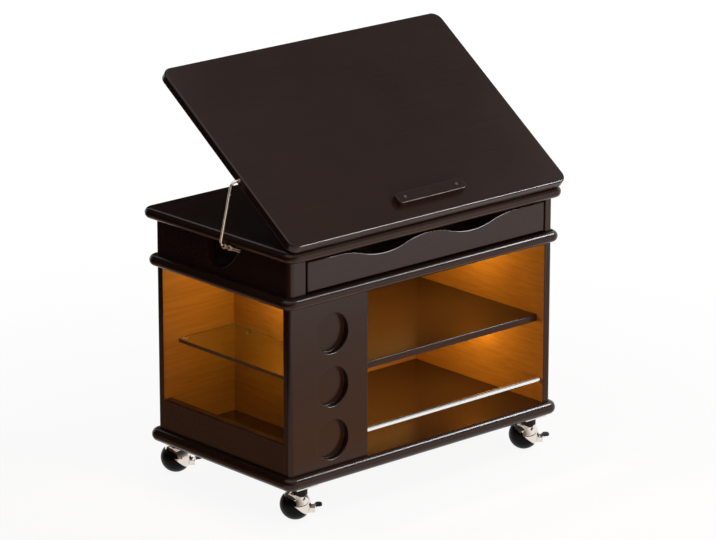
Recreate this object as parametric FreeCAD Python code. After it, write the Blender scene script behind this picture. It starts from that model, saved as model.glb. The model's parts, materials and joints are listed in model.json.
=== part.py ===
import FreeCAD, Part
import math
import os

os.makedirs("parts", exist_ok=True)

V = FreeCAD.Vector
X_AXIS = V(1, 0, 0)
Y_AXIS = V(0, 1, 0)
Z_AXIS = V(0, 0, 1)

# Driving sizes, mm. While modelling, x is 0 on the cabinet's middle plane,
# y is 0 on the front edge of the base board and z is 0 on the floor.
# At the end everything moves so that the origin is the middle of the bounding box's foot.

# Boards
BOARD_W = 620.0
BOARD_D = 370.0
BASE_T = 23.0
MID_T = 19.0
TOP_T = 19.0
TOP_OVER = 17.0
TOP_FRONT = -6.5
BOARD_CORNER = 20.0
NOSE_FLAT = 0.4
PANEL_T = 16.0

# Heights
CASTER_H = 62.0
LOWER_H = 288.5
APRON_H = 61.5

# Cabinet walls, set back from the boards' edges
INSET_SIDE = 13.0
INSET_FRONT = 13.0
INSET_BACK = 16.0
EDGE_R = 5.0
SOFT_R = 2.0
FRONT_PANEL_W = 171.5
SIDE_RAIL_H = 55.0
FIT_GAP = 0.5
SLIP = 0.05

# How far a cutting shape runs past a face, and how near two places count as one
PAST = 1.0
NEAR = 0.01

# Round recesses in the front panel
RECESS_R = 34.5
RECESS_DEPTH = 11.0
RECESS_X = 93.0
RECESS_PITCH = 92.0
RECESS_LOW = 46.0
RECESS_COUNT = 3
RECESS_ARRIS = 1.6
FRONT_CORNER_R = 8.0

# Shelves, their pins and the guard rail
SHELF_T = 12.5
SHELF_UNDER = 143.5
SHELF_SETBACK = 17.0
GLASS_T = 6.0
GLASS_UNDER = 151.0
GLASS_SETBACK = 30.0
GLASS_CORNER = 4.0
PIN_R = 2.5
PIN_IN = 7.0
PIN_OUT = 9.0
PIN_FROM_END = 45.0
PIN_FROM_EDGE = 15.0
RAIL_R = 5.0
RAIL_SPIGOT_R = 3.0
RAIL_SPIGOT_IN = 8.0
RAIL_REVEAL = 3.0
RAIL_UP = 41.0
RAIL_BACK = 9.6

# Light channels
LED_W = 16.0
LED_H = 7.0
LED_WALL = 2.0
LED_LENS = 4.0
LED_END = 10.0

# Apron: the box between the middle board and the fixed top
POST_W = 36.0
POST_D = 32.0
POST_R = 12.0
# Side notch: places along the depth and the drop below the fixed top at each
SCOOP = [(131, 0), (137, 7), (156, 30), (182, 46), (200, 48), (214, 44.5), (221, 25), (224.5, 0)]

# Drawer
DRAWER_GAP = 3.0
DRAWER_RISE = 2.5
DRAWER_FRONT_H = 52.0
WAVE_DEPTH = 16.0
WAVE_LEN = 197.0
WAVE_COUNT = 2
DRAWER_EDGE_R = 2.5
SLIDE_W = 13.0
DRAWER_WALL = 12.0
DRAWER_WALL_H = 28.0
DRAWER_WALL_UP = 3.5
DRAWER_BACK_GAP = 38.0
DRAWER_FLOOR_T = 5.0
DRAWER_FLOOR_UP = 6.0
GROOVE = 5.0
SLIDE_STEEL = 1.5
SLIDE_H = 26.0
SLIDE_UP = 1.0
SLIDE_PLAY = 1.2
RUNNER_BACK_GAP = 19.0

# Tilting lid, drawn open on its prop
LID_OVER = 19.0
LID_T = 16.0
LID_EDGE_R = 3.0
LID_CORNER = 18.0
LID_GAP = 0.5
LID_TILT = 35.5
AXIS_BACK = 5.0
LID_LIP = 2.0

# Lid hinges
HINGE_X = 190.0
HINGE_LEN = 60.0
HINGE_LEAF = 22.0
HINGE_T = 1.4
KNUCKLE_R = 1.8
KNUCKLE_LEN = 18.0
KNUCKLE_GAP = 0.3
HINGE_PIN_R = 0.9
TROUGH = 0.4
SCREW_R = 2.6
SCREW_DEEP = 9.0

# Ledge that stops a book or tablet
STOP_LEN = 150.0
STOP_W = 22.0
STOP_T = 10.0
STOP_X = 15.0
STOP_UP = 27.0
STOP_R = 6.0
STOP_ARRIS = 1.2
STOP_SCREW_X = 58.0
STOP_SCREW_R = 2.8
STOP_SCREW_RISE = 0.9

# Prop wire, its bracket and its socket
WIRE_D = 5.0
WIRE_OUT = 16.0
WIRE_ARM_OUT = 2.0
WIRE_ARM_DROP = 1.0
WIRE_ELBOW_Y = 170.0
WIRE_ARM_LEN = 53.0
WIRE_BEND = 8.0
WIRE_ELBOW_R = 5.0
PROP_ALONG = 157.5
PROP_CLEAR = 0.4
SOCKET_R = 4.0
SOCKET_BORE = 3.0
SOCKET_LEN = 8.0
EYE_R = 4.3
EYE_LEN = 6.0
EYE_PITCH = 14.0
BRACKET_FROM = 138.0
BRACKET_T = 2.0
BRACKET_IN = 13.0
CAP_R = 2.5
CAP_LEN = 6.0
CAP_LID_ALONG = 35.0
CAP_TOP_ALONG = 40.0

# Casters
BALL_R = 26.0
CASTER_IN_X = 47.5
CASTER_IN_Y = 29.5
TRAIL = 5.4
OFFSET = 6.8
LEVER_TURN = -35.0
AXLE_LEAN = 42.0
HOOD_WALL = 3.0
HALF_GAP = 0.6
AXLE_R = 3.0
AXLE_IN = 12.0
AXLE_OUT = 19.0
HUB_R = 5.0
PLATE_X = 46.0
PLATE_Y = 40.0
PLATE_T = 2.5
STEM_R = 4.0
STEM_LEN = 14.0
NECK_R = 7.5
NECK_LEN = 17.0
COLLAR_R = 13.0
COLLAR_LEN = 13.0
SWIVEL_GAP = 0.3
EAR_T = 2.0
EAR_H = 8.0
EAR_ROOT = 20.0
LEVER_W = 15.0
LEVER_T = 2.5
LEVER_TIP = 44.0
LEVER_KNEE = 36.0
LEVER_RISE = 7.0
LEVER_PIVOT = 28.0
LEVER_PIN_R = 1.5
LEVER_LOW = 9.0
LEVER_TIP_R = 5.0

# Derived levels and planes
BASE_Z = CASTER_H
FLOOR_Z = BASE_Z + BASE_T
MID_Z = FLOOR_Z + LOWER_H
APRON_Z = MID_Z + MID_T
TOP_Z = APRON_Z + APRON_H
LID_Z = TOP_Z + TOP_T + LID_GAP
HALF_W = BOARD_W / 2
TOP_D = BOARD_D + TOP_OVER
LID_D = TOP_D + LID_OVER
LEFT = -HALF_W + INSET_SIDE
RIGHT = HALF_W - INSET_SIDE
FRONT = INSET_FRONT
BACK = BOARD_D - INSET_BACK
BACK_IN = BACK - PANEL_T
FRONT_IN = FRONT + PANEL_T
DRAWER_LEN = BACK_IN - FRONT_IN - DRAWER_BACK_GAP
RUNNER_LEN = BACK_IN - FRONT_IN - RUNNER_BACK_GAP
RIGHT_IN = RIGHT - PANEL_T
PART_R = LEFT + FRONT_PANEL_W
PART_L = PART_R - PANEL_T
POST_IN = LEFT + POST_W
AXIS_Y = TOP_FRONT + AXIS_BACK
AXIS_Z = LID_Z - LID_GAP / 2
ARM_X = -HALF_W - WIRE_ARM_OUT
ARM_Z = TOP_Z - WIRE_ARM_DROP


def box(x0, x1, y0, y1, z0, z1):
    return Part.makeBox(x1 - x0, y1 - y0, z1 - z0, V(x0, y0, z0))


def rod(r, start, end):
    line = end.sub(start)
    return Part.makeCylinder(r, line.Length, start, line)


def upright_edges(shape, places):
    """Vertical edges of a shape that stand at one of the given plan places."""
    found = []
    for edge in shape.Edges:
        a, b = edge.Vertexes[0].Point, edge.Vertexes[-1].Point
        if abs(a.z - b.z) < NEAR or abs(a.x - b.x) > NEAR or abs(a.y - b.y) > NEAR:
            continue
        if any(abs(a.x - x) < NEAR and abs(a.y - y) < NEAR for x, y in places):
            found.append(edge)
    return found


def round_uprights(shape, radius, places):
    return shape.makeFillet(radius, upright_edges(shape, places))


def rim_edges(shape, levels):
    """Edges that lie wholly at one of the given heights."""
    found = []
    for edge in shape.Edges:
        span = edge.BoundBox
        if any(abs(span.ZMin - z) < NEAR and abs(span.ZMax - z) < NEAR for z in levels):
            found.append(edge)
    return found


def board(depth, front, z0, thick, corner, edge_r):
    """Board as wide as the cabinet, with rounded corners and a rounded edge all the way round."""
    plate = box(-HALF_W, HALF_W, front, front + depth, z0, z0 + thick)
    corners = [(x, y) for x in (-HALF_W, HALF_W) for y in (front, front + depth)]
    plate = round_uprights(plate, corner, corners)
    return plate.makeFillet(edge_r, rim_edges(plate, (z0, z0 + thick)))


def bullnose(depth, front, z0, thick):
    return board(depth, front, z0, thick, BOARD_CORNER, (thick - NOSE_FLAT) / 2)


def group(shapes):
    return Part.makeCompound(shapes)


def both_sides(make):
    return group([make(-1), make(1)])


# Lower cabinet

def recess_centres():
    x = LEFT + RECESS_X
    return [V(x, FRONT, FLOOR_Z + RECESS_LOW + i * RECESS_PITCH) for i in range(RECESS_COUNT)]


def front_left_panel():
    panel = box(LEFT, PART_R, FRONT, FRONT_IN, FLOOR_Z, MID_Z)
    panel = round_uprights(panel, FRONT_CORNER_R, [(LEFT, FRONT)])
    panel = round_uprights(panel, SOFT_R, [(PART_R, FRONT)])
    for centre in recess_centres():
        panel = panel.cut(Part.makeCylinder(RECESS_R, RECESS_DEPTH, centre, Y_AXIS))
    rims = [e for e in panel.Edges if e.BoundBox.YMax - FRONT < NEAR and hasattr(e.Curve, "Radius")]
    panel = panel.makeFillet(RECESS_ARRIS, rims)
    start = V(PART_R - RAIL_SPIGOT_IN, rail_y(), rail_z())
    panel = panel.cut(rod(RAIL_SPIGOT_R + SLIP, start, V(PART_R + PAST, rail_y(), rail_z())))
    return panel.cut(group(pin_holes(glass_pin_lines())))


def partition_panel():
    panel = box(PART_L, PART_R, FRONT_IN, BACK_IN, FLOOR_Z, MID_Z)
    return panel.cut(group(pin_holes(glass_pin_lines() + shelf_pin_lines())))


def right_side_panel():
    panel = box(RIGHT_IN, RIGHT, FRONT, BACK_IN, FLOOR_Z, MID_Z)
    panel = round_uprights(panel, EDGE_R, [(RIGHT, FRONT)])
    panel = round_uprights(panel, SOFT_R, [(RIGHT_IN, FRONT)])
    end = V(RIGHT_IN + RAIL_SPIGOT_IN, rail_y(), rail_z())
    panel = panel.cut(rod(RAIL_SPIGOT_R + SLIP, V(RIGHT_IN - PAST, rail_y(), rail_z()), end))
    return panel.cut(group(pin_holes(shelf_pin_lines())))


def back_wall(z0, z1):
    panel = box(LEFT, RIGHT, BACK_IN, BACK, z0, z1)
    return round_uprights(panel, EDGE_R, [(LEFT, BACK), (RIGHT, BACK)])


def back_panel():
    return back_wall(FLOOR_Z, MID_Z).cut(group(pin_holes(glass_pin_lines())))


def left_side_rail():
    rail = box(LEFT, LEFT + PANEL_T, FRONT_IN, BACK_IN, FLOOR_Z, FLOOR_Z + SIDE_RAIL_H)
    top = [e for e in rim_edges(rail, [FLOOR_Z + SIDE_RAIL_H]) if e.BoundBox.YLength > NEAR]
    return rail.makeFillet(SOFT_R, top)


def shelf_pin_lines():
    z = FLOOR_Z + SHELF_UNDER - PIN_R - SLIP
    front = FRONT + SHELF_SETBACK + PIN_FROM_END
    back = BACK_IN - PIN_FROM_END
    lines = []
    for y in (front, back):
        lines.append((V(PART_R - PIN_IN, y, z), V(PART_R + PIN_OUT, y, z)))
        lines.append((V(RIGHT_IN + PIN_IN, y, z), V(RIGHT_IN - PIN_OUT, y, z)))
    return lines


def glass_pin_lines():
    z = FLOOR_Z + GLASS_UNDER - PIN_R - SLIP
    x = LEFT + GLASS_SETBACK + PIN_FROM_EDGE
    lines = []
    for y in (FRONT_IN + PIN_FROM_END, BACK_IN - PIN_FROM_END):
        lines.append((V(PART_L + PIN_IN, y, z), V(PART_L - PIN_OUT, y, z)))
    lines.append((V(x, FRONT_IN - PIN_IN, z), V(x, FRONT_IN + PIN_OUT, z)))
    lines.append((V(x, BACK_IN + PIN_IN, z), V(x, BACK_IN - PIN_OUT, z)))
    return lines


def pins(lines):
    return group([rod(PIN_R, a, b) for a, b in lines])


def pin_holes(lines):
    return [rod(PIN_R + SLIP, a, b) for a, b in lines]


def mid_shelf():
    z = FLOOR_Z + SHELF_UNDER
    front = FRONT + SHELF_SETBACK
    shelf = box(PART_R + FIT_GAP, RIGHT_IN - FIT_GAP, front, BACK_IN - FIT_GAP, z, z + SHELF_T)
    nose = [e for e in rim_edges(shelf, (z, z + SHELF_T)) if abs(e.BoundBox.YMax - front) < NEAR]
    return shelf.makeFillet(SOFT_R, nose)


def glass_shelf():
    z = FLOOR_Z + GLASS_UNDER
    x0, x1 = LEFT + GLASS_SETBACK, PART_L - FIT_GAP
    y0, y1 = FRONT_IN + FIT_GAP, BACK_IN - FIT_GAP
    sheet = box(x0, x1, y0, y1, z, z + GLASS_T)
    return round_uprights(sheet, GLASS_CORNER, [(x0, y0), (x0, y1)])


def rail_y():
    return FRONT + RAIL_BACK


def rail_z():
    return FLOOR_Z + RAIL_UP


def guard_rail():
    y, z = rail_y(), rail_z()
    bar = rod(RAIL_R, V(PART_R + RAIL_REVEAL, y, z), V(RIGHT_IN - RAIL_REVEAL, y, z))
    into = RAIL_SPIGOT_IN - FIT_GAP
    spigot = rod(RAIL_SPIGOT_R, V(PART_R - into, y, z), V(RIGHT_IN + into, y, z))
    return bar.fuse(spigot).removeSplitter()


def led_places():
    """Left end, right end and underside of the board above each light channel."""
    upper = (PART_R + LED_END, RIGHT_IN - LED_END, MID_Z)
    lower = (PART_R + LED_END, RIGHT_IN - LED_END, FLOOR_Z + SHELF_UNDER)
    left = (LEFT + GLASS_SETBACK, PART_L - LED_END, MID_Z)
    return [upper, lower, left]


def led_lens(x0, x1, z, extra):
    y1 = BACK_IN - FIT_GAP - LED_WALL
    y0 = BACK_IN - FIT_GAP - LED_W + LED_WALL
    return box(x0, x1, y0, y1, z - LED_H - extra, z - LED_H + LED_LENS)


def led_channels():
    shapes = []
    for x0, x1, z in led_places():
        y1 = BACK_IN - FIT_GAP
        body = box(x0, x1, y1 - LED_W, y1, z - LED_H, z)
        shapes.append(body.cut(led_lens(x0 + LED_WALL, x1 - LED_WALL, z, LED_WALL)))
    return group(shapes)


def led_lenses():
    return group([led_lens(x0 + LED_WALL, x1 - LED_WALL, z, 0) for x0, x1, z in led_places()])


# Apron

def apron_left_post():
    post = box(LEFT, POST_IN, FRONT, FRONT + POST_D, APRON_Z, TOP_Z)
    post = round_uprights(post, POST_R, [(LEFT, FRONT)])
    return round_uprights(post, SOFT_R, [(POST_IN, FRONT)])


def scoop_cutter():
    """Scooped notch in the left side, open at the top, where the prop wire is gripped."""
    points = [V(LEFT - PAST, y, TOP_Z - drop) for y, drop in SCOOP]
    curve = Part.BSplineCurve()
    curve.interpolate(points)
    outline = Part.Wire([curve.toShape(), Part.makeLine(points[-1], points[0])])
    return Part.Face(outline).extrude(V(PANEL_T + 2 * PAST, 0, 0))


def apron_left_side():
    side = box(LEFT, LEFT + PANEL_T, FRONT + POST_D, BACK_IN, APRON_Z, TOP_Z)
    return side.cut(scoop_cutter())


def apron_left_cheek():
    return box(LEFT + PANEL_T, POST_IN, FRONT + POST_D, BACK_IN, APRON_Z, TOP_Z)


def apron_right_side():
    side = box(RIGHT_IN, RIGHT, FRONT, BACK_IN, APRON_Z, TOP_Z)
    side = round_uprights(side, EDGE_R, [(RIGHT, FRONT)])
    return round_uprights(side, SOFT_R, [(RIGHT_IN, FRONT)])


def slide_z():
    return APRON_Z + DRAWER_RISE + DRAWER_WALL_UP + SLIDE_UP


def runner(wall, way):
    """C-shaped cabinet member of a drawer slide, on the wall at x = wall, open towards way."""
    z0, z1 = slide_z(), slide_z() + SLIDE_H
    y0, y1 = FRONT_IN + FIT_GAP, FRONT_IN + FIT_GAP + RUNNER_LEN
    reach = SLIDE_W - SLIDE_STEEL - SLIDE_PLAY
    lip = way * reach
    skin = way * SLIDE_STEEL
    outer = box(min(wall, wall + lip), max(wall, wall + lip), y0, y1, z0, z1)
    inner = box(min(wall + skin, wall + 2 * lip), max(wall + skin, wall + 2 * lip), y0 - PAST, y1 + PAST,
                z0 + SLIDE_STEEL, z1 - SLIDE_STEEL)
    return outer.cut(inner)


def drawer_runners():
    return group([runner(POST_IN, 1), runner(RIGHT_IN, -1)])


# Drawer

def drawer_left():
    return POST_IN + SLIDE_W


def drawer_right():
    return RIGHT_IN - SLIDE_W


def drawer_box_z():
    return APRON_Z + DRAWER_RISE + DRAWER_WALL_UP


def scoop_edge(x, z):
    """Wavy top edge of the drawer's front, from its first crest at x, z: equal arcs up and down."""
    half, quarter = WAVE_LEN / 2, WAVE_LEN / 4
    r = (half ** 2 + WAVE_DEPTH ** 2) / (4 * WAVE_DEPTH)
    rest = math.asin(quarter / r) / 2
    run, sink = r * math.sin(rest), r * (1 - math.cos(rest))
    middle = z - WAVE_DEPTH / 2
    edges = [Part.Arc(V(x, FRONT, z), V(x + run, FRONT, z - sink), V(x + quarter, FRONT, middle)).toShape()]
    turns = 2 * WAVE_COUNT - 1
    for i in range(turns):
        level = z if i % 2 else z - WAVE_DEPTH
        a = x + quarter + i * half
        edges.append(Part.Arc(V(a, FRONT, middle), V(a + quarter, FRONT, level), V(a + half, FRONT, middle)).toShape())
    end = x + WAVE_COUNT * WAVE_LEN
    last = Part.Arc(V(end - quarter, FRONT, middle), V(end - run, FRONT, z - sink), V(end, FRONT, z))
    return edges + [last.toShape()]


def drawer_front():
    """Front with two finger scoops in its wavy top edge."""
    x0, x1 = POST_IN + DRAWER_GAP, RIGHT_IN - DRAWER_GAP
    z0 = APRON_Z + DRAWER_RISE
    z1 = z0 + DRAWER_FRONT_H
    reach = WAVE_COUNT * WAVE_LEN / 2
    start, end = (x0 + x1) / 2 - reach, (x0 + x1) / 2 + reach
    corners = [(end, z1), (x1, z1), (x1, z0), (x0, z0), (x0, z1), (start, z1)]
    points = [V(x, FRONT, z) for x, z in corners]
    edges = scoop_edge(start, z1)
    edges += [Part.makeLine(a, b) for a, b in zip(points, points[1:])]
    panel = Part.Face(Part.Wire(edges)).extrude(V(0, PANEL_T, 0))
    rim = [e for e in panel.Edges if abs(e.BoundBox.YMax - FRONT) < NEAR]
    panel = panel.makeFillet(DRAWER_EDGE_R, rim)
    return panel.cut(drawer_floor_space())


def drawer_floor_space():
    z = drawer_box_z() + DRAWER_FLOOR_UP
    return box(drawer_left() + DRAWER_WALL - GROOVE, drawer_right() - DRAWER_WALL + GROOVE,
               FRONT_IN - GROOVE, FRONT_IN + DRAWER_LEN - DRAWER_WALL + GROOVE, z, z + DRAWER_FLOOR_T)


def drawer_wall(x0):
    z = drawer_box_z()
    wall = box(x0, x0 + DRAWER_WALL, FRONT_IN, FRONT_IN + DRAWER_LEN, z, z + DRAWER_WALL_H)
    return wall.cut(drawer_floor_space())


def drawer_back():
    z = drawer_box_z()
    y1 = FRONT_IN + DRAWER_LEN
    wall = box(drawer_left() + DRAWER_WALL, drawer_right() - DRAWER_WALL, y1 - DRAWER_WALL, y1,
               z, z + DRAWER_WALL_H)
    return wall.cut(drawer_floor_space())


def slide_member(wall, way):
    """Drawer member of a slide: a flat strip on the drawer's side with two flanges in the runner."""
    z0 = slide_z() + SLIDE_STEEL + SLIDE_PLAY
    z1 = slide_z() + SLIDE_H - SLIDE_STEEL - SLIDE_PLAY
    y0, y1 = FRONT_IN + FIT_GAP, FRONT_IN + DRAWER_LEN
    reach = SLIDE_W - SLIDE_STEEL - SLIDE_PLAY
    tip, skin = wall + way * reach, wall + way * SLIDE_STEEL
    strip = box(min(wall, tip), max(wall, tip), y0, y1, z0, z1)
    far = tip + way * PAST
    space = box(min(skin, far), max(skin, far), y0 - PAST, y1 + PAST,
                z0 + SLIDE_STEEL, z1 - SLIDE_STEEL)
    return strip.cut(space)


def drawer_slides():
    return group([slide_member(drawer_left(), -1), slide_member(drawer_right(), 1)])


# Lid and hinges, modelled closed

def knuckle(x0, x1, bore):
    a, b = V(x0, AXIS_Y, AXIS_Z), V(x1, AXIS_Y, AXIS_Z)
    return rod(KNUCKLE_R, a, b).cut(rod(bore, a, b))


def leaf(x, spans, z0, z1):
    """One hinge leaf: a plate with knuckles on the given spans of its length."""
    free = KNUCKLE_R + TROUGH
    plate = box(x - HINGE_LEN / 2, x + HINGE_LEN / 2, AXIS_Y + free, AXIS_Y + HINGE_LEAF, z0, z1)
    for a, b in spans:
        tongue = box(x + a, x + b, AXIS_Y, AXIS_Y + free, z0, z1)
        tongue = tongue.cut(rod(KNUCKLE_R - KNUCKLE_GAP, V(x + a, AXIS_Y, AXIS_Z), V(x + b, AXIS_Y, AXIS_Z)))
        plate = plate.fuse(tongue).fuse(knuckle(x + a, x + b, HINGE_PIN_R + SLIP))
    y = AXIS_Y + HINGE_LEAF / 2
    for dx in hinge_screw_offsets():
        plate = plate.cut(rod(SCREW_R + SLIP, V(x + dx, y, z0 - PAST), V(x + dx, y, z1 + PAST)))
    return plate.removeSplitter()


def hinge_screw_offsets():
    step = HINGE_LEN / 3
    return (-step, 0, step)


def outer_spans():
    half = HINGE_LEN / 2
    return [(-half, -half + KNUCKLE_LEN), (half - KNUCKLE_LEN, half)]


def middle_span():
    half = HINGE_LEN / 2 - KNUCKLE_LEN - KNUCKLE_GAP
    return [(-half, half)]


def fixed_leaf(x):
    return leaf(x, outer_spans(), LID_Z - LID_GAP - HINGE_T, LID_Z - LID_GAP)


def lid_leaf(x):
    return leaf(x, middle_span(), LID_Z, LID_Z + HINGE_T)


def hinge_space(z0, z1):
    """Room for both hinges in a board: a flat rebate and a trough round the knuckles."""
    shapes = []
    half = HINGE_LEN / 2 + FIT_GAP
    for x in (-HINGE_X, HINGE_X):
        shapes.append(box(x - half, x + half, AXIS_Y, AXIS_Y + HINGE_LEAF + FIT_GAP, z0, z1))
        shapes.append(rod(KNUCKLE_R + TROUGH, V(x - half, AXIS_Y, AXIS_Z), V(x + half, AXIS_Y, AXIS_Z)))
    return group(shapes)


def hinge_pins():
    half = HINGE_LEN / 2
    return both_sides(lambda s: rod(HINGE_PIN_R, V(s * HINGE_X - half, AXIS_Y, AXIS_Z),
                                    V(s * HINGE_X + half, AXIS_Y, AXIS_Z)))


def hinge_screws(z_head, z_end, r):
    y = AXIS_Y + HINGE_LEAF / 2
    shapes = []
    for x in (-HINGE_X, HINGE_X):
        for dx in hinge_screw_offsets():
            shapes.append(rod(r, V(x + dx, y, z_head), V(x + dx, y, z_end)))
    return shapes


def edge_cap_lines(along, z):
    """Face and inner end of the plug's hole at each side edge of a board."""
    y = AXIS_Y + along
    return [(V(s * HALF_W, y, z), V(s * (HALF_W - CAP_LEN), y, z)) for s in (-1, 1)]


def edge_caps(along, z):
    plugs = []
    for face, inner in edge_cap_lines(along, z):
        inward = inner.sub(face).normalize()
        plugs.append(rod(CAP_R, face.add(inward * FIT_GAP), inner))
    return group(plugs)


def edge_cap_holes(along, z):
    return group([rod(CAP_R + SLIP, a, b) for a, b in edge_cap_lines(along, z)])


def bracket_screw_lines():
    x = LEFT + PANEL_T / 2
    step = EYE_PITCH / 2
    middle = bracket_middle()
    return [(V(x, middle + d, ARM_Z), V(x, middle + d, TOP_Z + SCREW_DEEP)) for d in (-step, step)]


def fixed_top():
    top = bullnose(TOP_D, TOP_FRONT, TOP_Z, TOP_T)
    face = TOP_Z + TOP_T
    top = top.cut(hinge_space(face - HINGE_T, face + PAST))
    top = top.cut(group(hinge_screws(face, face - SCREW_DEEP, SCREW_R + SLIP)))
    top = top.cut(edge_cap_holes(CAP_TOP_ALONG, TOP_Z + TOP_T / 2))
    return top.cut(group([rod(SCREW_R + SLIP, a, b) for a, b in bracket_screw_lines()]))


def cabinet_screws():
    face = TOP_Z + TOP_T
    screws = hinge_screws(face, face - SCREW_DEEP, SCREW_R)
    screws += [rod(SCREW_R, a, b) for a, b in bracket_screw_lines()]
    return group(screws)


def prop_socket_line(length):
    y, z = AXIS_Y + PROP_ALONG, LID_Z + LID_T / 2
    return V(-HALF_W, y, z), V(-HALF_W + length, y, z)


def lid_panel():
    lid = board(LID_D, AXIS_Y - LID_LIP, LID_Z, LID_T, LID_CORNER, LID_EDGE_R)
    lid = lid.cut(hinge_space(LID_Z - PAST, LID_Z + HINGE_T))
    lid = lid.cut(group(hinge_screws(LID_Z, LID_Z + SCREW_DEEP, SCREW_R + SLIP)))
    lid = lid.cut(edge_cap_holes(CAP_LID_ALONG, LID_Z + LID_T / 2))
    lid = lid.cut(group([rod(STOP_SCREW_R + SLIP, a, b) for a, b in stop_screw_lines(LID_Z + LID_T / 2)]))
    return lid.cut(rod(SOCKET_R + SLIP, *prop_socket_line(SOCKET_LEN)))


def prop_socket():
    ring = rod(SOCKET_R, *prop_socket_line(SOCKET_LEN))
    return ring.cut(rod(SOCKET_BORE, *prop_socket_line(SOCKET_LEN)))


def stop_screw_lines(z_end):
    y = AXIS_Y + STOP_UP + STOP_W / 2
    top = LID_Z + LID_T + STOP_T
    return [(V(STOP_X + s * STOP_SCREW_X, y, z_end), V(STOP_X + s * STOP_SCREW_X, y, top)) for s in (-1, 1)]


def book_stop():
    z = LID_Z + LID_T
    y0, y1 = AXIS_Y + STOP_UP, AXIS_Y + STOP_UP + STOP_W
    x0, x1 = STOP_X - STOP_LEN / 2, STOP_X + STOP_LEN / 2
    bar = box(x0, x1, y0, y1, z, z + STOP_T)
    bar = round_uprights(bar, STOP_R, [(x, y) for x in (x0, x1) for y in (y0, y1)])
    bar = bar.makeFillet(STOP_ARRIS, rim_edges(bar, [z + STOP_T]))
    return bar.cut(group([rod(STOP_SCREW_R + SLIP, a, b) for a, b in stop_screw_lines(z)]))


def lid_screws():
    screws = hinge_screws(LID_Z, LID_Z + SCREW_DEEP, SCREW_R)
    for a, b in stop_screw_lines(LID_Z + LID_T / 2):
        shank = rod(STOP_SCREW_R, a, b.add(V(0, 0, STOP_SCREW_RISE)))
        head = [e for e in rim_edges(shank, [b.z + STOP_SCREW_RISE])]
        screws.append(shank.makeFillet(STOP_SCREW_RISE, head))
    return group(screws)


def tilted(shape):
    turned = shape.copy()
    turned.rotate(V(0, AXIS_Y, AXIS_Z), X_AXIS, LID_TILT)
    return turned


# Prop wire

def tilt_point(point):
    spin = FreeCAD.Rotation(X_AXIS, LID_TILT)
    axis = V(0, AXIS_Y, AXIS_Z)
    return axis.add(spin.multVec(point.sub(axis)))


def rounded_path(points, radii):
    """Wire through the points, with an arc of the given radius at each inner corner."""
    edges = []
    start = points[0]
    for i, r in enumerate(radii):
        corner = points[i + 1]
        back = points[i].sub(corner).normalize()
        on = points[i + 2].sub(corner).normalize()
        half = back.getAngle(on) / 2
        run = r / math.tan(half)
        a, b = corner.add(back * run), corner.add(on * run)
        middle = back.add(on).normalize() * (r / math.sin(half) - r)
        edges.append(Part.makeLine(start, a))
        edges.append(Part.Arc(a, corner.add(middle), b).toShape())
        start = b
    edges.append(Part.makeLine(start, points[-1]))
    return Part.Wire(edges)


def prop_wire():
    tip = tilt_point(prop_socket_line(SOCKET_LEN)[0]).add(V(-PROP_CLEAR, 0, 0))
    bend = V(-HALF_W - WIRE_OUT, tip.y, tip.z)
    elbow = V(ARM_X, WIRE_ELBOW_Y, ARM_Z)
    end = V(ARM_X, WIRE_ELBOW_Y - WIRE_ARM_LEN, ARM_Z)
    path = rounded_path([tip, bend, elbow, end], [WIRE_BEND, WIRE_ELBOW_R])
    ring = Part.Wire(Part.makeCircle(WIRE_D / 2, tip, X_AXIS))
    return path.makePipeShell([ring], True, True)


def bracket_middle():
    return BRACKET_FROM + (EYE_PITCH + EYE_LEN) / 2


def prop_bracket():
    """Plate under the fixed top in the scoop, with two eyes that carry the wire's lower arm."""
    length = EYE_PITCH + EYE_LEN
    y0 = BRACKET_FROM
    inner = LEFT + BRACKET_IN
    plate = box(ARM_X, inner, y0, y0 + length, TOP_Z - BRACKET_T, TOP_Z)
    nose = bullnose(TOP_D, TOP_FRONT, TOP_Z, TOP_T)
    between = box(ARM_X - EYE_R, LEFT, y0 + EYE_LEN, y0 + EYE_PITCH, ARM_Z - EYE_R, TOP_Z + PAST)
    bracket = plate.cut(between)
    for y in (y0, y0 + EYE_PITCH):
        bracket = bracket.fuse(rod(EYE_R, V(ARM_X, y, ARM_Z), V(ARM_X, y + EYE_LEN, ARM_Z)))
    bore = rod(WIRE_D / 2 + SLIP, V(ARM_X, y0 - PAST, ARM_Z), V(ARM_X, y0 + length + PAST, ARM_Z))
    bracket = bracket.cut(bore)
    bracket = bracket.cut(nose)
    return bracket.cut(group([rod(SCREW_R + SLIP, a, b) for a, b in bracket_screw_lines()])).removeSplitter()


# Casters

def caster_places():
    x, y0, y1 = HALF_W - CASTER_IN_X, CASTER_IN_Y, BOARD_D - CASTER_IN_Y
    return {"front_left": (-x, y0), "front_right": (x, y0), "back_left": (-x, y1), "back_right": (x, y1)}


LEVER_WAY = V(math.cos(math.radians(LEVER_TURN)), math.sin(math.radians(LEVER_TURN)), 0)
SIDE_WAY = V(-LEVER_WAY.y, LEVER_WAY.x, 0)
AXLE_WAY = LEVER_WAY * -math.sin(math.radians(AXLE_LEAN)) + Z_AXIS * -math.cos(math.radians(AXLE_LEAN))


def ball_centre(x, y):
    return V(x, y, BALL_R).add(SIDE_WAY * TRAIL).sub(LEVER_WAY * OFFSET)


def half_ball(centre, r, way):
    """Half of a ball on the way side of its middle plane, less half the running gap."""
    reach = 2 * BALL_R
    slab = rod(reach, centre.add(way * HALF_GAP), centre.add(way * (HALF_GAP + reach)))
    return Part.makeSphere(r, centre).common(slab)


def neck_top():
    return BASE_Z - PLATE_T - SWIVEL_GAP


def lever_pivot(centre):
    return centre.add(LEVER_WAY * LEVER_PIVOT).add(Z_AXIS * -LEVER_LOW)


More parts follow.
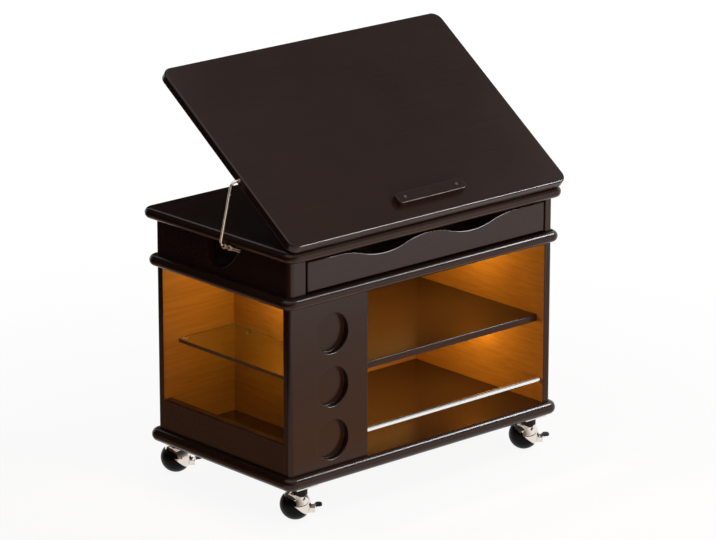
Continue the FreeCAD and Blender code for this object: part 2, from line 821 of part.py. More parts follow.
def ear(centre, side):
    """Ear on the hood that carries one end of the brake lever's pin."""
    pivot = lever_pivot(centre)
    near = LEVER_W / 2 + SWIVEL_GAP
    root = pivot.add(SIDE_WAY * (side * near)).sub(LEVER_WAY * (LEVER_PIVOT - EAR_ROOT))
    tip = pivot.add(SIDE_WAY * (side * near)).add(LEVER_WAY * (EAR_H / 2))
    low, high = Z_AXIS * (-EAR_H / 2), Z_AXIS * (EAR_H / 2)
    outline = [root.add(low), tip.add(low), tip.add(high), root.add(high), root.add(low)]
    plate = Part.Face(Part.makePolygon(outline)).extrude(SIDE_WAY * (side * EAR_T))
    reach = SIDE_WAY * LEVER_W
    return plate.cut(rod(LEVER_PIN_R + SLIP, pivot.sub(reach), pivot.add(reach)))


def caster_hood(x, y):
    centre = ball_centre(x, y)
    way = AXLE_WAY * -1
    shell = half_ball(centre, BALL_R, way).cut(Part.makeSphere(BALL_R - HOOD_WALL, centre))
    hub = rod(HUB_R, centre.add(way * HALF_GAP), centre.add(way * (BALL_R - HOOD_WALL / 2)))
    neck = rod(NECK_R, V(x, y, neck_top() - NECK_LEN), V(x, y, neck_top()))
    hood = shell.fuse([hub, neck, ear(centre, -1), ear(centre, 1)])
    hood = hood.cut(rod(STEM_R + SLIP, V(x, y, neck_top() - STEM_LEN), V(x, y, BASE_Z)))
    return hood.cut(rod(AXLE_R + SLIP, centre, centre.add(way * AXLE_IN))).removeSplitter()


def caster_collar(x, y):
    ring = rod(COLLAR_R, V(x, y, neck_top() - COLLAR_LEN), V(x, y, neck_top()))
    ring = ring.cut(rod(NECK_R + SLIP, V(x, y, neck_top() - 2 * COLLAR_LEN), V(x, y, BASE_Z)))
    return ring.cut(Part.makeSphere(BALL_R + SLIP, ball_centre(x, y)))


def caster_wheel(x, y):
    centre = ball_centre(x, y)
    bore = rod(AXLE_R + SLIP, centre, centre.add(AXLE_WAY * (AXLE_OUT + SWIVEL_GAP)))
    return half_ball(centre, BALL_R, AXLE_WAY).cut(bore)


def caster_axle(x, y):
    centre = ball_centre(x, y)
    return rod(AXLE_R, centre.sub(AXLE_WAY * (AXLE_IN - FIT_GAP)), centre.add(AXLE_WAY * AXLE_OUT))


def brake_lever(x, y):
    centre = ball_centre(x, y)
    pivot = lever_pivot(centre)
    half = SIDE_WAY * (LEVER_W / 2)
    root = pivot.sub(LEVER_WAY * (LEVER_PIN_R + SWIVEL_GAP))
    high = Z_AXIS * (LEVER_RISE - LEVER_LOW)
    knee = centre.add(LEVER_WAY * LEVER_KNEE).add(high)
    tip = centre.add(LEVER_WAY * LEVER_TIP).add(high)
    lift = Z_AXIS * (LEVER_T / 2)
    outline = [p.add(lift) for p in (root, knee, tip)] + [p.sub(lift) for p in (tip, knee, root)]
    outline.append(outline[0])
    profile = [p.sub(half) for p in outline]
    plate = Part.Face(Part.makePolygon(profile)).extrude(half * 2)
    corners = [tip.sub(half), tip.add(half)]
    plate = plate.makeFillet(LEVER_TIP_R, upright_edges(plate, [(c.x, c.y) for c in corners]))
    reach = SIDE_WAY * (LEVER_W / 2 + EAR_T)
    return plate.fuse(rod(LEVER_PIN_R, pivot.sub(reach), pivot.add(reach))).removeSplitter()


def caster_mounts():
    """Screw-on plates with the swivel stems, one under each corner of the base board."""
    shapes = []
    for x, y in caster_places().values():
        plate = box(x - PLATE_X / 2, x + PLATE_X / 2, y - PLATE_Y / 2, y + PLATE_Y / 2,
                    BASE_Z - PLATE_T, BASE_Z)
        stem = rod(STEM_R, V(x, y, neck_top() - STEM_LEN + FIT_GAP), V(x, y, BASE_Z - PLATE_T / 2))
        shapes.append(plate.fuse(stem).removeSplitter())
    return group(shapes)


# Every node, by name

nodes = {
    "base_board": bullnose(BOARD_D, 0, BASE_Z, BASE_T),
    "front_left_panel": front_left_panel(),
    "partition_panel": partition_panel(),
    "right_side_panel": right_side_panel(),
    "back_panel": back_panel(),
    "left_side_rail": left_side_rail(),
    "mid_shelf": mid_shelf(),
    "mid_shelf_pins": pins(shelf_pin_lines()),
    "glass_shelf": glass_shelf(),
    "glass_shelf_pins": pins(glass_pin_lines()),
    "guard_rail": guard_rail(),
    "led_channels": led_channels(),
    "led_lenses": led_lenses(),
    "mid_board": bullnose(BOARD_D, 0, MID_Z, MID_T),
    "apron_left_post": apron_left_post(),
    "apron_left_side": apron_left_side(),
    "apron_left_cheek": apron_left_cheek(),
    "apron_right_side": apron_right_side(),
    "apron_back": back_wall(APRON_Z, TOP_Z),
    "drawer_runners": drawer_runners(),
    "fixed_top": fixed_top(),
    "hinge_fixed_leaves": group([fixed_leaf(-HINGE_X), fixed_leaf(HINGE_X)]),
    "hinge_pins": hinge_pins(),
    "cabinet_screws": cabinet_screws(),
    "edge_caps_top": edge_caps(CAP_TOP_ALONG, TOP_Z + TOP_T / 2),
    "prop_bracket": prop_bracket(),
    "caster_mounts": caster_mounts(),
    "drawer_front": drawer_front(),
    "drawer_side_left": drawer_wall(drawer_left()),
    "drawer_side_right": drawer_wall(drawer_right() - DRAWER_WALL),
    "drawer_back": drawer_back(),
    "drawer_floor": drawer_floor_space(),
    "drawer_slides": drawer_slides(),
    "lid_panel": tilted(lid_panel()),
    "hinge_lid_leaves": tilted(group([lid_leaf(-HINGE_X), lid_leaf(HINGE_X)])),
    "lid_screws": tilted(lid_screws()),
    "book_stop": tilted(book_stop()),
    "prop_socket": tilted(prop_socket()),
    "edge_caps_lid": tilted(edge_caps(CAP_LID_ALONG, LID_Z + LID_T / 2)),
    "prop_wire": prop_wire(),
}
for where, (px, py) in caster_places().items():
    nodes["caster_hood_" + where] = caster_hood(px, py)
    nodes["caster_collar_" + where] = caster_collar(px, py)
    nodes["caster_wheel_" + where] = caster_wheel(px, py)
    nodes["caster_axle_" + where] = caster_axle(px, py)
    nodes["brake_lever_" + where] = brake_lever(px, py)

# Origin: the middle of the whole object's bounding box, on the floor
whole = group(list(nodes.values())).optimalBoundingBox(False, False)
shift = V(-whole.Center.x, -whole.Center.y, 0)
for name, shape in nodes.items():
    shape.translate(shift)
    shape.exportStep("parts/" + name + ".step")
print("shift", round(shift.x, 4), round(shift.y, 4), "nodes", len(nodes))
print("foot", round(whole.ZMin, 4), "height", round(whole.ZMax, 3))
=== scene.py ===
import json
import math

import bmesh
import bpy
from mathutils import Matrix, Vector


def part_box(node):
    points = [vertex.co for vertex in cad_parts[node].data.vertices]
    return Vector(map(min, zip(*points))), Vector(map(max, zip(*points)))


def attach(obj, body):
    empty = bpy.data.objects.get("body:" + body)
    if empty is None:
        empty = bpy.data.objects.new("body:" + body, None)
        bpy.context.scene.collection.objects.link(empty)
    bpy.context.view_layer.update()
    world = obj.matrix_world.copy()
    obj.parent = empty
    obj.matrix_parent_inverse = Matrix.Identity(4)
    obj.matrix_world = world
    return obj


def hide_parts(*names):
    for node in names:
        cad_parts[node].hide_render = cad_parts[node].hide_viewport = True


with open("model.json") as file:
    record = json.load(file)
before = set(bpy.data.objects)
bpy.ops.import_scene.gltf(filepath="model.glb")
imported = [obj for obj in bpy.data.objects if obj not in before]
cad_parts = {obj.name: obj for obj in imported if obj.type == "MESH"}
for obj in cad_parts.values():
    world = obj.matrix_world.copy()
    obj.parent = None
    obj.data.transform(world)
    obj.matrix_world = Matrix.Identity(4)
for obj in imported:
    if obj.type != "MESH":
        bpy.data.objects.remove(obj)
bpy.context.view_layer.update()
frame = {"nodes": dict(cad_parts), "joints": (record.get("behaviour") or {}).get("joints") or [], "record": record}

bl_info = {
    "name": "Tilt-top side table",
    "version": (1, 0, 0),
    "blender": (4, 5, 0),
    "location": "View3D > Sidebar > Side Table",
    "description": "Dresses the tilt-top side table on ball casters and lights it in a plain studio",
    "category": "Object",
}

# What the frame says about the pieces
MM = 0.001
NODES = frame["nodes"]
RECORD = frame["record"]
BODY_OF = {node: body for body, members in RECORD["behaviour"]["bodies"].items() for node in members}
JOINTS = {joint["name"]: joint for joint in frame["joints"]}
CORNERS = ("front_left", "front_right", "back_left", "back_right")
UP = Vector((0, 0, 1))
DOWN = Vector((0, 0, -1))
LID_TILT = math.radians(-JOINTS["lid_tilt"]["range_deg"][0])
LID_NORMAL = Vector((0, -math.sin(LID_TILT), math.cos(LID_TILT)))

# How a copied CAD mesh is cleaned
WELD = 2e-6
FLAT_ANGLE = math.radians(0.4)
SHARP_ANGLE = math.radians(32)
ARRIS_ANGLE = math.radians(50)
ARRIS_STEPS = 3
FACING = 0.9


def linear(code):
    """Linear colour of an sRGB hex value such as 2A2320."""
    parts = [int(code[i:i + 2], 16) / 255 for i in (0, 2, 4)]
    return [p / 12.92 if p <= 0.04045 else ((p + 0.055) / 1.055) ** 2.4 for p in parts]


def per(size_mm):
    """Texture scale that gives a pattern of about this size, in millimetres."""
    return 1 / (size_mm * MM)


# Settings that a user would change

def colour(name, code, words):
    """Colour setting, its default an sRGB hex value."""
    return bpy.props.FloatVectorProperty(
        name=name, description=words, subtype="COLOR", size=3, min=0, max=1, default=linear(code))


def length(name, size_mm, words):
    """Length setting, its default in millimetres."""
    return bpy.props.FloatProperty(
        name=name, description=words, unit="LENGTH", subtype="DISTANCE", min=0, default=size_mm * MM)


def power(name, watts, words):
    """Lamp power setting."""
    return bpy.props.FloatProperty(name=name, description=words, unit="POWER", min=0, default=watts)


def angle(name, degrees, words):
    """Angle setting, its default in degrees."""
    return bpy.props.FloatProperty(
        name=name, description=words, subtype="ANGLE", default=math.radians(degrees))


class SideTableSizes(bpy.types.PropertyGroup):
    """Sizes of the dressing, which the CAD nodes leave out."""
    arris: length("Arris", 0.7, "Rounding on the sawn edges of lacquered boards")
    fine_arris: length("Fine arris", 0.25, "Rounding on the edges of metal and plastic pieces")
    wire_r: length("Wire radius", 2.5, "Half the prop wire's thickness")
    wire_bend: length("Wire bend", 8, "Bend radius at the top of the prop wire")
    wire_elbow: length("Wire elbow", 5, "Bend radius at the foot of the prop wire")
    screw_r: length("Screw radius", 2.6, "Radius of the hinge and bracket screws' heads")
    stop_screw_r: length("Ledge screw radius", 2.8, "Radius of the two screws in the book ledge")
    plate_screw_r: length("Plate screw radius", 3.1, "Radius of the screws in the caster plates")
    screw_slot: length("Screw slot", 0.9, "Width of the cross slot in a screw")
    pad_len: length("Pedal pad", 10, "Length of the dipped pad on a brake pedal")
    pad_skin: length("Pad skin", 0.6, "Thickness of the dipped pad on a brake pedal")


class SideTableColours(bpy.types.PropertyGroup):
    """Base colours of the finishes."""
    lacquer: colour("Lacquer", "2F1E17", "Espresso lacquer on the outside")
    lacquer_deep: colour("Lacquer, deep", "2A1B15", "Darker clouds in the espresso lacquer")
    laminate: colour("Laminate", "94602A", "Walnut laminate inside the bays")
    laminate_deep: colour("Laminate, deep", "835323", "Dark grain of the walnut laminate")
    birch: colour("Birch", "D9B98C", "Drawer box")
    birch_deep: colour("Birch, deep", "B98F5F", "Grain and glue lines of the drawer box")
    glass: colour("Glass", "EEF7F2", "Clear shelf")
    # Glass edge: a painted shade, dark brown for the bay seen through the edge, and its lighter specks
    glass_rim_shade: colour("Glass edge", "3C2C1A", "Ground edge of the glass")
    glass_rim_shade_pale: colour("Glass edge, pale", "5E4830", "Lighter specks in the ground edge")
    chrome: colour("Chrome", "E4D9CF", "Chrome plate")
    satin: colour("Satin chrome", "F5FBFC", "Satin chrome on the guard rail")
    hood: colour("Hood chrome", "E8DFD6", "Warmer chrome plate on the casters")
    nickel: colour("Nickel", "FAE8D6", "Champagne nickel on the prop wire")
    dark_nickel: colour("Dark nickel", "8A857F", "Dark nickel on the screws of the book ledge")
    zinc: colour("Zinc", "B4B6BA", "Zinc plate on slides and screws")
    enamel: colour("Enamel", "161616", "Black enamel on the hinges")
    aluminium: colour("Aluminium", "C4C5C8", "Anodised light channels")
    glow: colour("Glow", "FFC060", "Light behind the lenses")
    bay_light: colour("Bay light", "FFDE70", "Light that the lenses throw into the bays")
    plastic: colour("Plastic", "0F0F0F", "Black plastic collars and plugs")
    rubber: colour("Rubber", "0C0B0B", "Black tread of the casters")
    vinyl: colour("Vinyl", "0E0E0F", "Dipped pads on the brake pedals")
    floor: colour("Floor", "F4F4F4", "Studio floor")


class SideTableStage(bpy.types.PropertyGroup):
    """Studio light and camera."""
    key_power: power("Key", 10, "Power of the front right softbox")
    fill_power: power("Fill", 23, "Power of the two front fills")
    top_power: power("Top", 5, "Power of the overhead panel")
    bay_power: power("Bays", 3.5, "Power of the light in a bay one metre wide")
    sky: bpy.props.FloatProperty(
        name="Sky", description="Strength of the even light from all round", min=0, default=0.35)
    lens: bpy.props.FloatProperty(
        name="Lens", description="Focal length of the camera", unit="CAMERA", default=201.12)
    pitch: angle("Pitch", 16.974, "How far the camera looks down")
    yaw: angle("Yaw", 41.825, "Turn of the camera from square-on")
    place: bpy.props.FloatVectorProperty(
        name="Place", description="Where the camera stands", unit="LENGTH", size=3,
        default=(-4.3205, -4.8438, 2.3257))


def sizes():
    return bpy.context.scene.side_table_sizes


def colours():
    return bpy.context.scene.side_table_colours


# Node trees

def add(tree, kind, inputs=None, **settings):
    """Adds one node with its settings. An input takes a value, or a socket that is linked to it."""
    node = tree.nodes.new(kind)
    for name, value in settings.items():
        setattr(node, name, value)
    for key, value in (inputs or {}).items():
        if isinstance(value, bpy.types.NodeSocket):
            tree.links.new(value, node.inputs[key])
        else:
            node.inputs[key].default_value = value
    return node


def rgba(value):
    return (*value, 1)


# Sockets of the colour Mix node, whose names repeat
MIX_FACTOR, MIX_A, MIX_B, MIX_OUT = 0, 6, 7, 2


def surface(name, **values):
    """New material: its tree, its Principled shader and its Object coordinates."""
    made = bpy.data.materials.new(name)
    made.use_nodes = True
    tree = made.node_tree
    tree.nodes.clear()
    inputs = {key.replace("_", " "): value for key, value in values.items()}
    shader = add(tree, "ShaderNodeBsdfPrincipled", inputs)
    add(tree, "ShaderNodeOutputMaterial", {"Surface": shader.outputs[0]})
    place = add(tree, "ShaderNodeTexCoord").outputs["Object"]
    return made, tree, shader, place


def stretched(tree, place, long_mm, wide_mm, deep_mm):
    """Coordinates in which a pattern one unit across is drawn out to these sizes."""
    scale = (per(long_mm), per(wide_mm), per(deep_mm))
    return add(tree, "ShaderNodeMapping", {"Vector": place, "Scale": scale}).outputs[0]


def link(tree, source, shader, name):
    """Feeds a shader's socket from another node."""
    tree.links.new(source, shader.inputs[name])


def espresso_lacquer():
    # Satin lacquer sprayed on MDF: almost black brown, a soft sheen with a faint orange peel,
    # slow clouds in the colour and a trace of the straight grain of the foil under it
    made, tree, shader, place = surface("espresso_lacquer_on_mdf", IOR=1.5, Specular_IOR_Level=0.28)
    cloud = add(tree, "ShaderNodeTexNoise", {"Vector": place, "Scale": per(140), "Detail": 3})
    grain = stretched(tree, place, 160, 3.5, 3.5)
    lines = add(tree, "ShaderNodeTexNoise", {"Vector": grain, "Scale": 1, "Detail": 4})
    both = add(tree, "ShaderNodeMath", {0: cloud.outputs[0], 1: lines.outputs[0]}, operation="MULTIPLY")
    fade = add(tree, "ShaderNodeMapRange", {"Value": both.outputs[0], "From Min": 0.12, "From Max": 0.42})
    tone = add(tree, "ShaderNodeMix", {MIX_FACTOR: fade.outputs[0], MIX_A: rgba(colours().lacquer_deep),
                                       MIX_B: rgba(colours().lacquer)}, data_type="RGBA")
    link(tree, tone.outputs[MIX_OUT], shader, "Base Color")
    sheen = add(tree, "ShaderNodeMapRange", {"Value": cloud.outputs[0], "To Min": 0.18, "To Max": 0.23})
    link(tree, sheen.outputs[0], shader, "Roughness")
    peel = add(tree, "ShaderNodeTexNoise", {"Vector": place, "Scale": per(2.2), "Detail": 2})
    bump = add(tree, "ShaderNodeBump", {"Height": peel.outputs[0], "Strength": 0.025, "Distance": 0.1 * MM})
    link(tree, bump.outputs[0], shader, "Normal")
    return made


def walnut_laminate():
    # Walnut melamine inside the bays: brown with darker grain that runs along the boards, smooth and satin
    made, tree, shader, place = surface("walnut_laminate", IOR=1.5)
    along = stretched(tree, place, 150, 60, 5)
    grain = add(tree, "ShaderNodeTexNoise", {"Vector": along, "Scale": 1, "Detail": 6, "Distortion": 0.6})
    fade = add(tree, "ShaderNodeMapRange", {"Value": grain.outputs[0], "From Min": 0.35, "From Max": 0.65})
    tone = add(tree, "ShaderNodeMix", {MIX_FACTOR: fade.outputs[0], MIX_A: rgba(colours().laminate_deep),
                                       MIX_B: rgba(colours().laminate)}, data_type="RGBA")
    link(tree, tone.outputs[MIX_OUT], shader, "Base Color")
    sheen = add(tree, "ShaderNodeMapRange", {"Value": grain.outputs[0], "To Min": 0.3, "To Max": 0.42})
    link(tree, sheen.outputs[0], shader, "Roughness")
    bump = add(tree, "ShaderNodeBump", {"Height": grain.outputs[0], "Strength": 0.08, "Distance": 0.1 * MM})
    link(tree, bump.outputs[0], shader, "Normal")
    return made


def birch_ply():
    # Rotary-cut birch face of the drawer box: pale, with soft wandering grain under clear satin varnish
    made, tree, shader, place = surface("birch_plywood_face", IOR=1.5)
    along = stretched(tree, place, 40, 120, 6)
    grain = add(tree, "ShaderNodeTexNoise", {"Vector": along, "Scale": 1, "Detail": 5, "Distortion": 1.2})
    tone = add(tree, "ShaderNodeMix", {MIX_FACTOR: grain.outputs[0], MIX_A: rgba(colours().birch),
                                       MIX_B: rgba(colours().birch_deep)}, data_type="RGBA")
    link(tree, tone.outputs[MIX_OUT], shader, "Base Color")
    sheen = add(tree, "ShaderNodeMapRange", {"Value": grain.outputs[0], "To Min": 0.42, "To Max": 0.55})
    link(tree, sheen.outputs[0], shader, "Roughness")
    return made


def birch_edge():
    # Sanded edge of the plywood: thin pale and brown plies side by side
    made, tree, shader, place = surface("birch_plywood_edge", IOR=1.5, Roughness=0.6)
    across = stretched(tree, place, 8, 8, 8)
    plies = add(tree, "ShaderNodeTexWave", {"Vector": across, "Scale": 0.5, "Distortion": 0.4},
                wave_type="BANDS", bands_direction="X")
    tone = add(tree, "ShaderNodeMix", {MIX_FACTOR: plies.outputs[1], MIX_A: rgba(colours().birch),
                                       MIX_B: rgba(colours().birch_deep)}, data_type="RGBA")
    link(tree, tone.outputs[MIX_OUT], shader, "Base Color")
    return made


def clear_glass():
    # Float glass: clear, with faint wipe marks that only show in its reflections
    made, tree, shader, place = surface("clear_float_glass", Base_Color=rgba(colours().glass), IOR=1.5,
                                        Transmission_Weight=1.0)
    smear = stretched(tree, place, 90, 25, 25)
    wipe = add(tree, "ShaderNodeTexNoise", {"Vector": smear, "Scale": 1, "Detail": 3})
    haze = add(tree, "ShaderNodeMapRange", {"Value": wipe.outputs[0], "To Min": 0.0, "To Max": 0.04})
    link(tree, haze.outputs[0], shader, "Roughness")
    return made


def ground_glass():
    # Ground and polished edge of the glass: dark and smoky partly since the light in it has run a long way
    # through the sheet, and partly painted shade, a brown tone that stands in for the dark bay seen through the
    # edge
    made, tree, shader, place = surface("ground_glass_rim_shade", IOR=1.5, Transmission_Weight=0.6)
    grit = add(tree, "ShaderNodeTexNoise", {"Vector": place, "Scale": per(1.5), "Detail": 2})
    tone = add(tree, "ShaderNodeMix", {MIX_FACTOR: grit.outputs[0], MIX_A: rgba(colours().glass_rim_shade),
                                       MIX_B: rgba(colours().glass_rim_shade_pale)}, data_type="RGBA")
    link(tree, tone.outputs[MIX_OUT], shader, "Base Color")
    haze = add(tree, "ShaderNodeMapRange", {"Value": grit.outputs[0], "To Min": 0.1, "To Max": 0.25})
    link(tree, haze.outputs[0], shader, "Roughness")
    return made


def metal(name, tint, low, high, long_mm, wide_mm):
    """Plated or drawn metal whose roughness wanders between low and high in streaks of the given size."""
    made, tree, shader, place = surface(name, Base_Color=rgba(tint), Metallic=1.0)
    drawn = stretched(tree, place, long_mm, wide_mm, wide_mm)
    streak = add(tree, "ShaderNodeTexNoise", {"Vector": drawn, "Scale": 1, "Detail": 3})
    sheen = add(tree, "ShaderNodeMapRange", {"Value": streak.outputs[0], "From Min": 0.3, "From Max": 0.7,
                                             "To Min": low, "To Max": high})
    link(tree, sheen.outputs[0], shader, "Roughness")
    return made


def chrome_plate():
    # Polished chrome: a clean mirror with faint finger marks
    return metal("polished_chrome_plate", colours().chrome, 0.06, 0.1, 60, 20)


def satin_chrome():
    # Chrome over a brushed tube: bright and a little milky, so it mirrors the room as one soft band
    return metal("satin_chrome_plate", colours().satin, 0.22, 0.28, 60, 20)


def caster_chrome():
    # Chrome on die-cast zinc: a mirror a little darker and warmer than the rail's, with faint scuffs
    return metal("chromed_zinc_casting", colours().hood, 0.06, 0.16, 9, 9)


def champagne_nickel():
    # Drawn wire plated in warm satin nickel: bright lines along the wire
    return metal("champagne_nickel_plate", colours().nickel, 0.2, 0.28, 8, 3)


def dark_nickel():
    # Black nickel on the ledge's screws: grey, half gloss, with a turned sheen
    return metal("dark_nickel_plate", colours().dark_nickel, 0.3, 0.4, 2, 2)


def zinc_plate():
    # Rolled steel with clear zinc plate: grey with a soft brushed streak along the slide
    return metal("zinc_plated_steel", colours().zinc, 0.28, 0.45, 3, 40)


def anodised_aluminium():
    # Extruded and anodised: even, fine die lines along its length
    return metal("anodised_aluminium", colours().aluminium, 0.3, 0.42, 120, 1.5)


def moulded(name, tint, low, high, grain_mm, depth_mm, shine=0.25):
    """Dark moulded or sprayed skin with a fine grain."""
    made, tree, shader, place = surface(name, Base_Color=rgba(tint), IOR=1.48, Specular_IOR_Level=shine)
    grain = add(tree, "ShaderNodeTexNoise", {"Vector": place, "Scale": per(grain_mm), "Detail": 3})
    sheen = add(tree, "ShaderNodeMapRange", {"Value": grain.outputs[0], "To Min": low, "To Max": high})
    link(tree, sheen.outputs[0], shader, "Roughness")
    depth = depth_mm * MM
    bump = add(tree, "ShaderNodeBump", {"Height": grain.outputs[0], "Strength": 0.2, "Distance": depth})
    link(tree, bump.outputs[0], shader, "Normal")
    return made


def black_enamel():
    # Stoved enamel on pressed steel: black, even, half gloss
    return moulded("black_enamel", colours().enamel, 0.25, 0.4, 1.2, 0.03)


def black_abs():
    # Moulded ABS with a fine spark-eroded grain: black, matt
    return moulded("black_abs", colours().plastic, 0.4, 0.6, 0.9, 0.05)


def black_rubber():
    # Moulded tread rubber: black, satin, with a little dust in its grain
    return moulded("black_tread_rubber", colours().rubber, 0.3, 0.5, 1.4, 0.06, shine=0.1)


def dipped_vinyl():
    # Vinyl the pedal was dipped in: black, rounded, soft gloss
    return moulded("dipped_vinyl", colours().vinyl, 0.35, 0.5, 2.0, 0.08)


# Share of the lens's glow that is left between two chips of the light strip
BETWEEN_CHIPS = 0.6


def frosted_lens():
    # Frosted acrylic with a light strip behind it: warm glow, a little brighter over each chip
    made, tree, shader, place = surface("frosted_acrylic_lens", Roughness=0.5, IOR=1.49,
                                        Emission_Strength=5.0)
    chips = add(tree, "ShaderNodeTexWave", {"Vector": stretched(tree, place, 16, 16, 16), "Scale": 0.5},
                wave_type="BANDS", bands_direction="X")
    faint = [part * BETWEEN_CHIPS for part in colours().glow]
    tone = add(tree, "ShaderNodeMix", {MIX_FACTOR: chips.outputs[1], MIX_A: rgba(faint),
                                       MIX_B: rgba(colours().glow)}, data_type="RGBA")
    link(tree, tone.outputs[MIX_OUT], shader, "Base Color")
    link(tree, tone.outputs[MIX_OUT], shader, "Emission Color")
    return made


FINISHES = {}


def finish(make):
    """Material of a finish, made once."""
    if make not in FINISHES:
        FINISHES[make] = make()
    return FINISHES[make]


# Pieces from CAD nodes

def put(name, data):
    """New object of this data in the scene."""
    thing = bpy.data.objects.new(name, data)
    bpy.context.scene.collection.objects.link(thing)
    return thing


def smooth(mesh):
    """Shades a mesh smooth, apart from its sharp edges."""
    for face in mesh.polygons:
        face.use_smooth = True
    mesh.set_sharp_from_angle(angle=SHARP_ANGLE)


def soften(piece, width):
    """Rounds the sharp edges of a piece."""
    soft = piece.modifiers.new("soft_arris", "BEVEL")
    soft.width = width
    soft.segments = ARRIS_STEPS
    soft.limit_method = "ANGLE"
    soft.angle_limit = ARRIS_ANGLE


def welded(mesh):
    """Merges a CAD mesh's loose triangles and joins those that lie in one plane."""
    normals = mesh.attributes.get("custom_normal")
    if normals:
        mesh.attributes.remove(normals)
    work = bmesh.new()
    work.from_mesh(mesh)
    bmesh.ops.remove_doubles(work, verts=work.verts, dist=WELD)
    bmesh.ops.dissolve_limit(work, angle_limit=FLAT_ANGLE, verts=work.verts, edges=work.edges)
    work.to_mesh(mesh)
    work.free()


def place_piece(name, mesh, body):
    """Puts a piece in the scene, to ride on a body."""
    piece = put(name, mesh)
    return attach(piece, body)


def finished(node, *coats, arris=0.0, paint=None):
    """Smooth copy of a CAD node that stands for it. paint gives the coat of each face."""
    mesh = NODES[node].data.copy()
    mesh.name = node + "_finished"
    welded(mesh)
    mesh.materials.clear()
    for coat in coats:
        mesh.materials.append(finish(coat))
    for face in mesh.polygons:
        face.material_index = paint(face) if paint else 0
    smooth(mesh)
    piece = place_piece(node + "_finished", mesh, BODY_OF[node])
    if arris:
        soften(piece, arris)
    even = piece.modifiers.new("even_normals", "WEIGHTED_NORMAL")
    even.keep_sharp = not arris
    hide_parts(node)
    return piece


def faces_towards(*ways):
    """Paint rule: the second coat goes on faces that look one of these ways."""
    return lambda face: int(any(face.normal.dot(Vector(way)) > FACING for way in ways))


def islands(node):
    """Corner points of each separate solid of a CAD node, in the order of the mesh."""
    work = bmesh.new()
    work.from_mesh(NODES[node].data)
    bmesh.ops.remove_doubles(work, verts=work.verts, dist=WELD)
    reached = set()
    found = []
    for first in work.verts:
        if first in reached:
            continue
        reached.add(first)
        group = []
        waiting = [first]
        while waiting:
            point = waiting.pop()
            group.append(point.co.copy())
            for line in point.link_edges:
                other = line.other_vert(point)
                if other not in reached:
                    reached.add(other)
                    waiting.append(other)
        found.append(group)
    work.free()
    return found


# Pieces that node trees grow

def new_tree(name, *inputs):
    """Geometry tree with a mesh input and these further inputs, as (name, socket type)."""
    tree = bpy.data.node_groups.new(name, "GeometryNodeTree")
    tree.interface.new_socket("Geometry", in_out="INPUT", socket_type="NodeSocketGeometry")
    for label, kind in inputs:
        tree.interface.new_socket(label, in_out="INPUT", socket_type=kind)
    tree.interface.new_socket("Geometry", in_out="OUTPUT", socket_type="NodeSocketGeometry")
    return tree, add(tree, "NodeGroupInput").outputs


def end_tree(tree, geometry, coat):
    """Makes the instances real and paints them."""
    real = add(tree, "GeometryNodeRealizeInstances", {"Geometry": geometry})
    painted = add(tree, "GeometryNodeSetMaterial", {"Geometry": real.outputs[0], "Material": coat})
    add(tree, "NodeGroupOutput", {0: painted.outputs[0]})


def grown(name, tree, seed, values, body):
    """Runs a tree on a seed mesh and keeps the result as a plain mesh that rides on a body."""
    holder = put(name + "_seed", seed)
    grow = holder.modifiers.new("grow", "NODES")
    grow.node_group = tree
    for item in tree.interface.items_tree:
        if item.in_out == "INPUT" and item.name in values:
            grow[item.identifier] = values[item.name]
    ready = holder.evaluated_get(bpy.context.evaluated_depsgraph_get())
    mesh = bpy.data.meshes.new_from_object(ready)
    bpy.data.objects.remove(holder)
    if not mesh.polygons:
        raise RuntimeError(name + " came out empty")
    mesh.name = name
    smooth(mesh)
    return place_piece(name, mesh, body)


def seed_mesh(name, points, edges=(), floats=None, vectors=None):
    """Mesh of points and lines with named values on its points."""
    mesh = bpy.data.meshes.new(name)
    mesh.from_pydata(points, list(edges), [])
    for label, values in (floats or {}).items():
        layer = mesh.attributes.new(label, "FLOAT", "POINT")
        for item, value in zip(layer.data, values):
            item.value = value
    for label, values in (vectors or {}).items():
        layer = mesh.attributes.new(label, "FLOAT_VECTOR", "POINT")
        for item, value in zip(layer.data, values):
            item.vector = value
    return mesh


# Sides and steps of the wire and the screws, how far a screw's slot reaches in its radius,
# and the seed that turns each slot its own way
WIRE_SIDES = 24
BEND_STEPS = 10
SCREW_SIDES = 32
SLOT_REACH = 1.2
SLOT_SEED = 3


def wire_tree():
    """Round wire along a line, bent at each corner by the point's own radius."""
    tree, given = new_tree("bent_wire", ("Radius", "NodeSocketFloat"), ("Finish", "NodeSocketMaterial"))
    line = add(tree, "GeometryNodeMeshToCurve", {"Mesh": given["Geometry"]})
    bend = add(tree, "GeometryNodeInputNamedAttribute", {"Name": "bend"}, data_type="FLOAT")
    bent = add(tree, "GeometryNodeFilletCurve", {"Curve": line.outputs[0], "Count": BEND_STEPS,
                                                 "Radius": bend.outputs[0]}, mode="POLY")
    ring = add(tree, "GeometryNodeCurvePrimitiveCircle",
               {"Resolution": WIRE_SIDES, "Radius": given["Radius"]})
    tube = add(tree, "GeometryNodeCurveToMesh",
               {"Curve": bent.outputs[0], "Profile Curve": ring.outputs[0], "Fill Caps": True})
    end_tree(tree, tube.outputs[0], given["Finish"])
    return tree


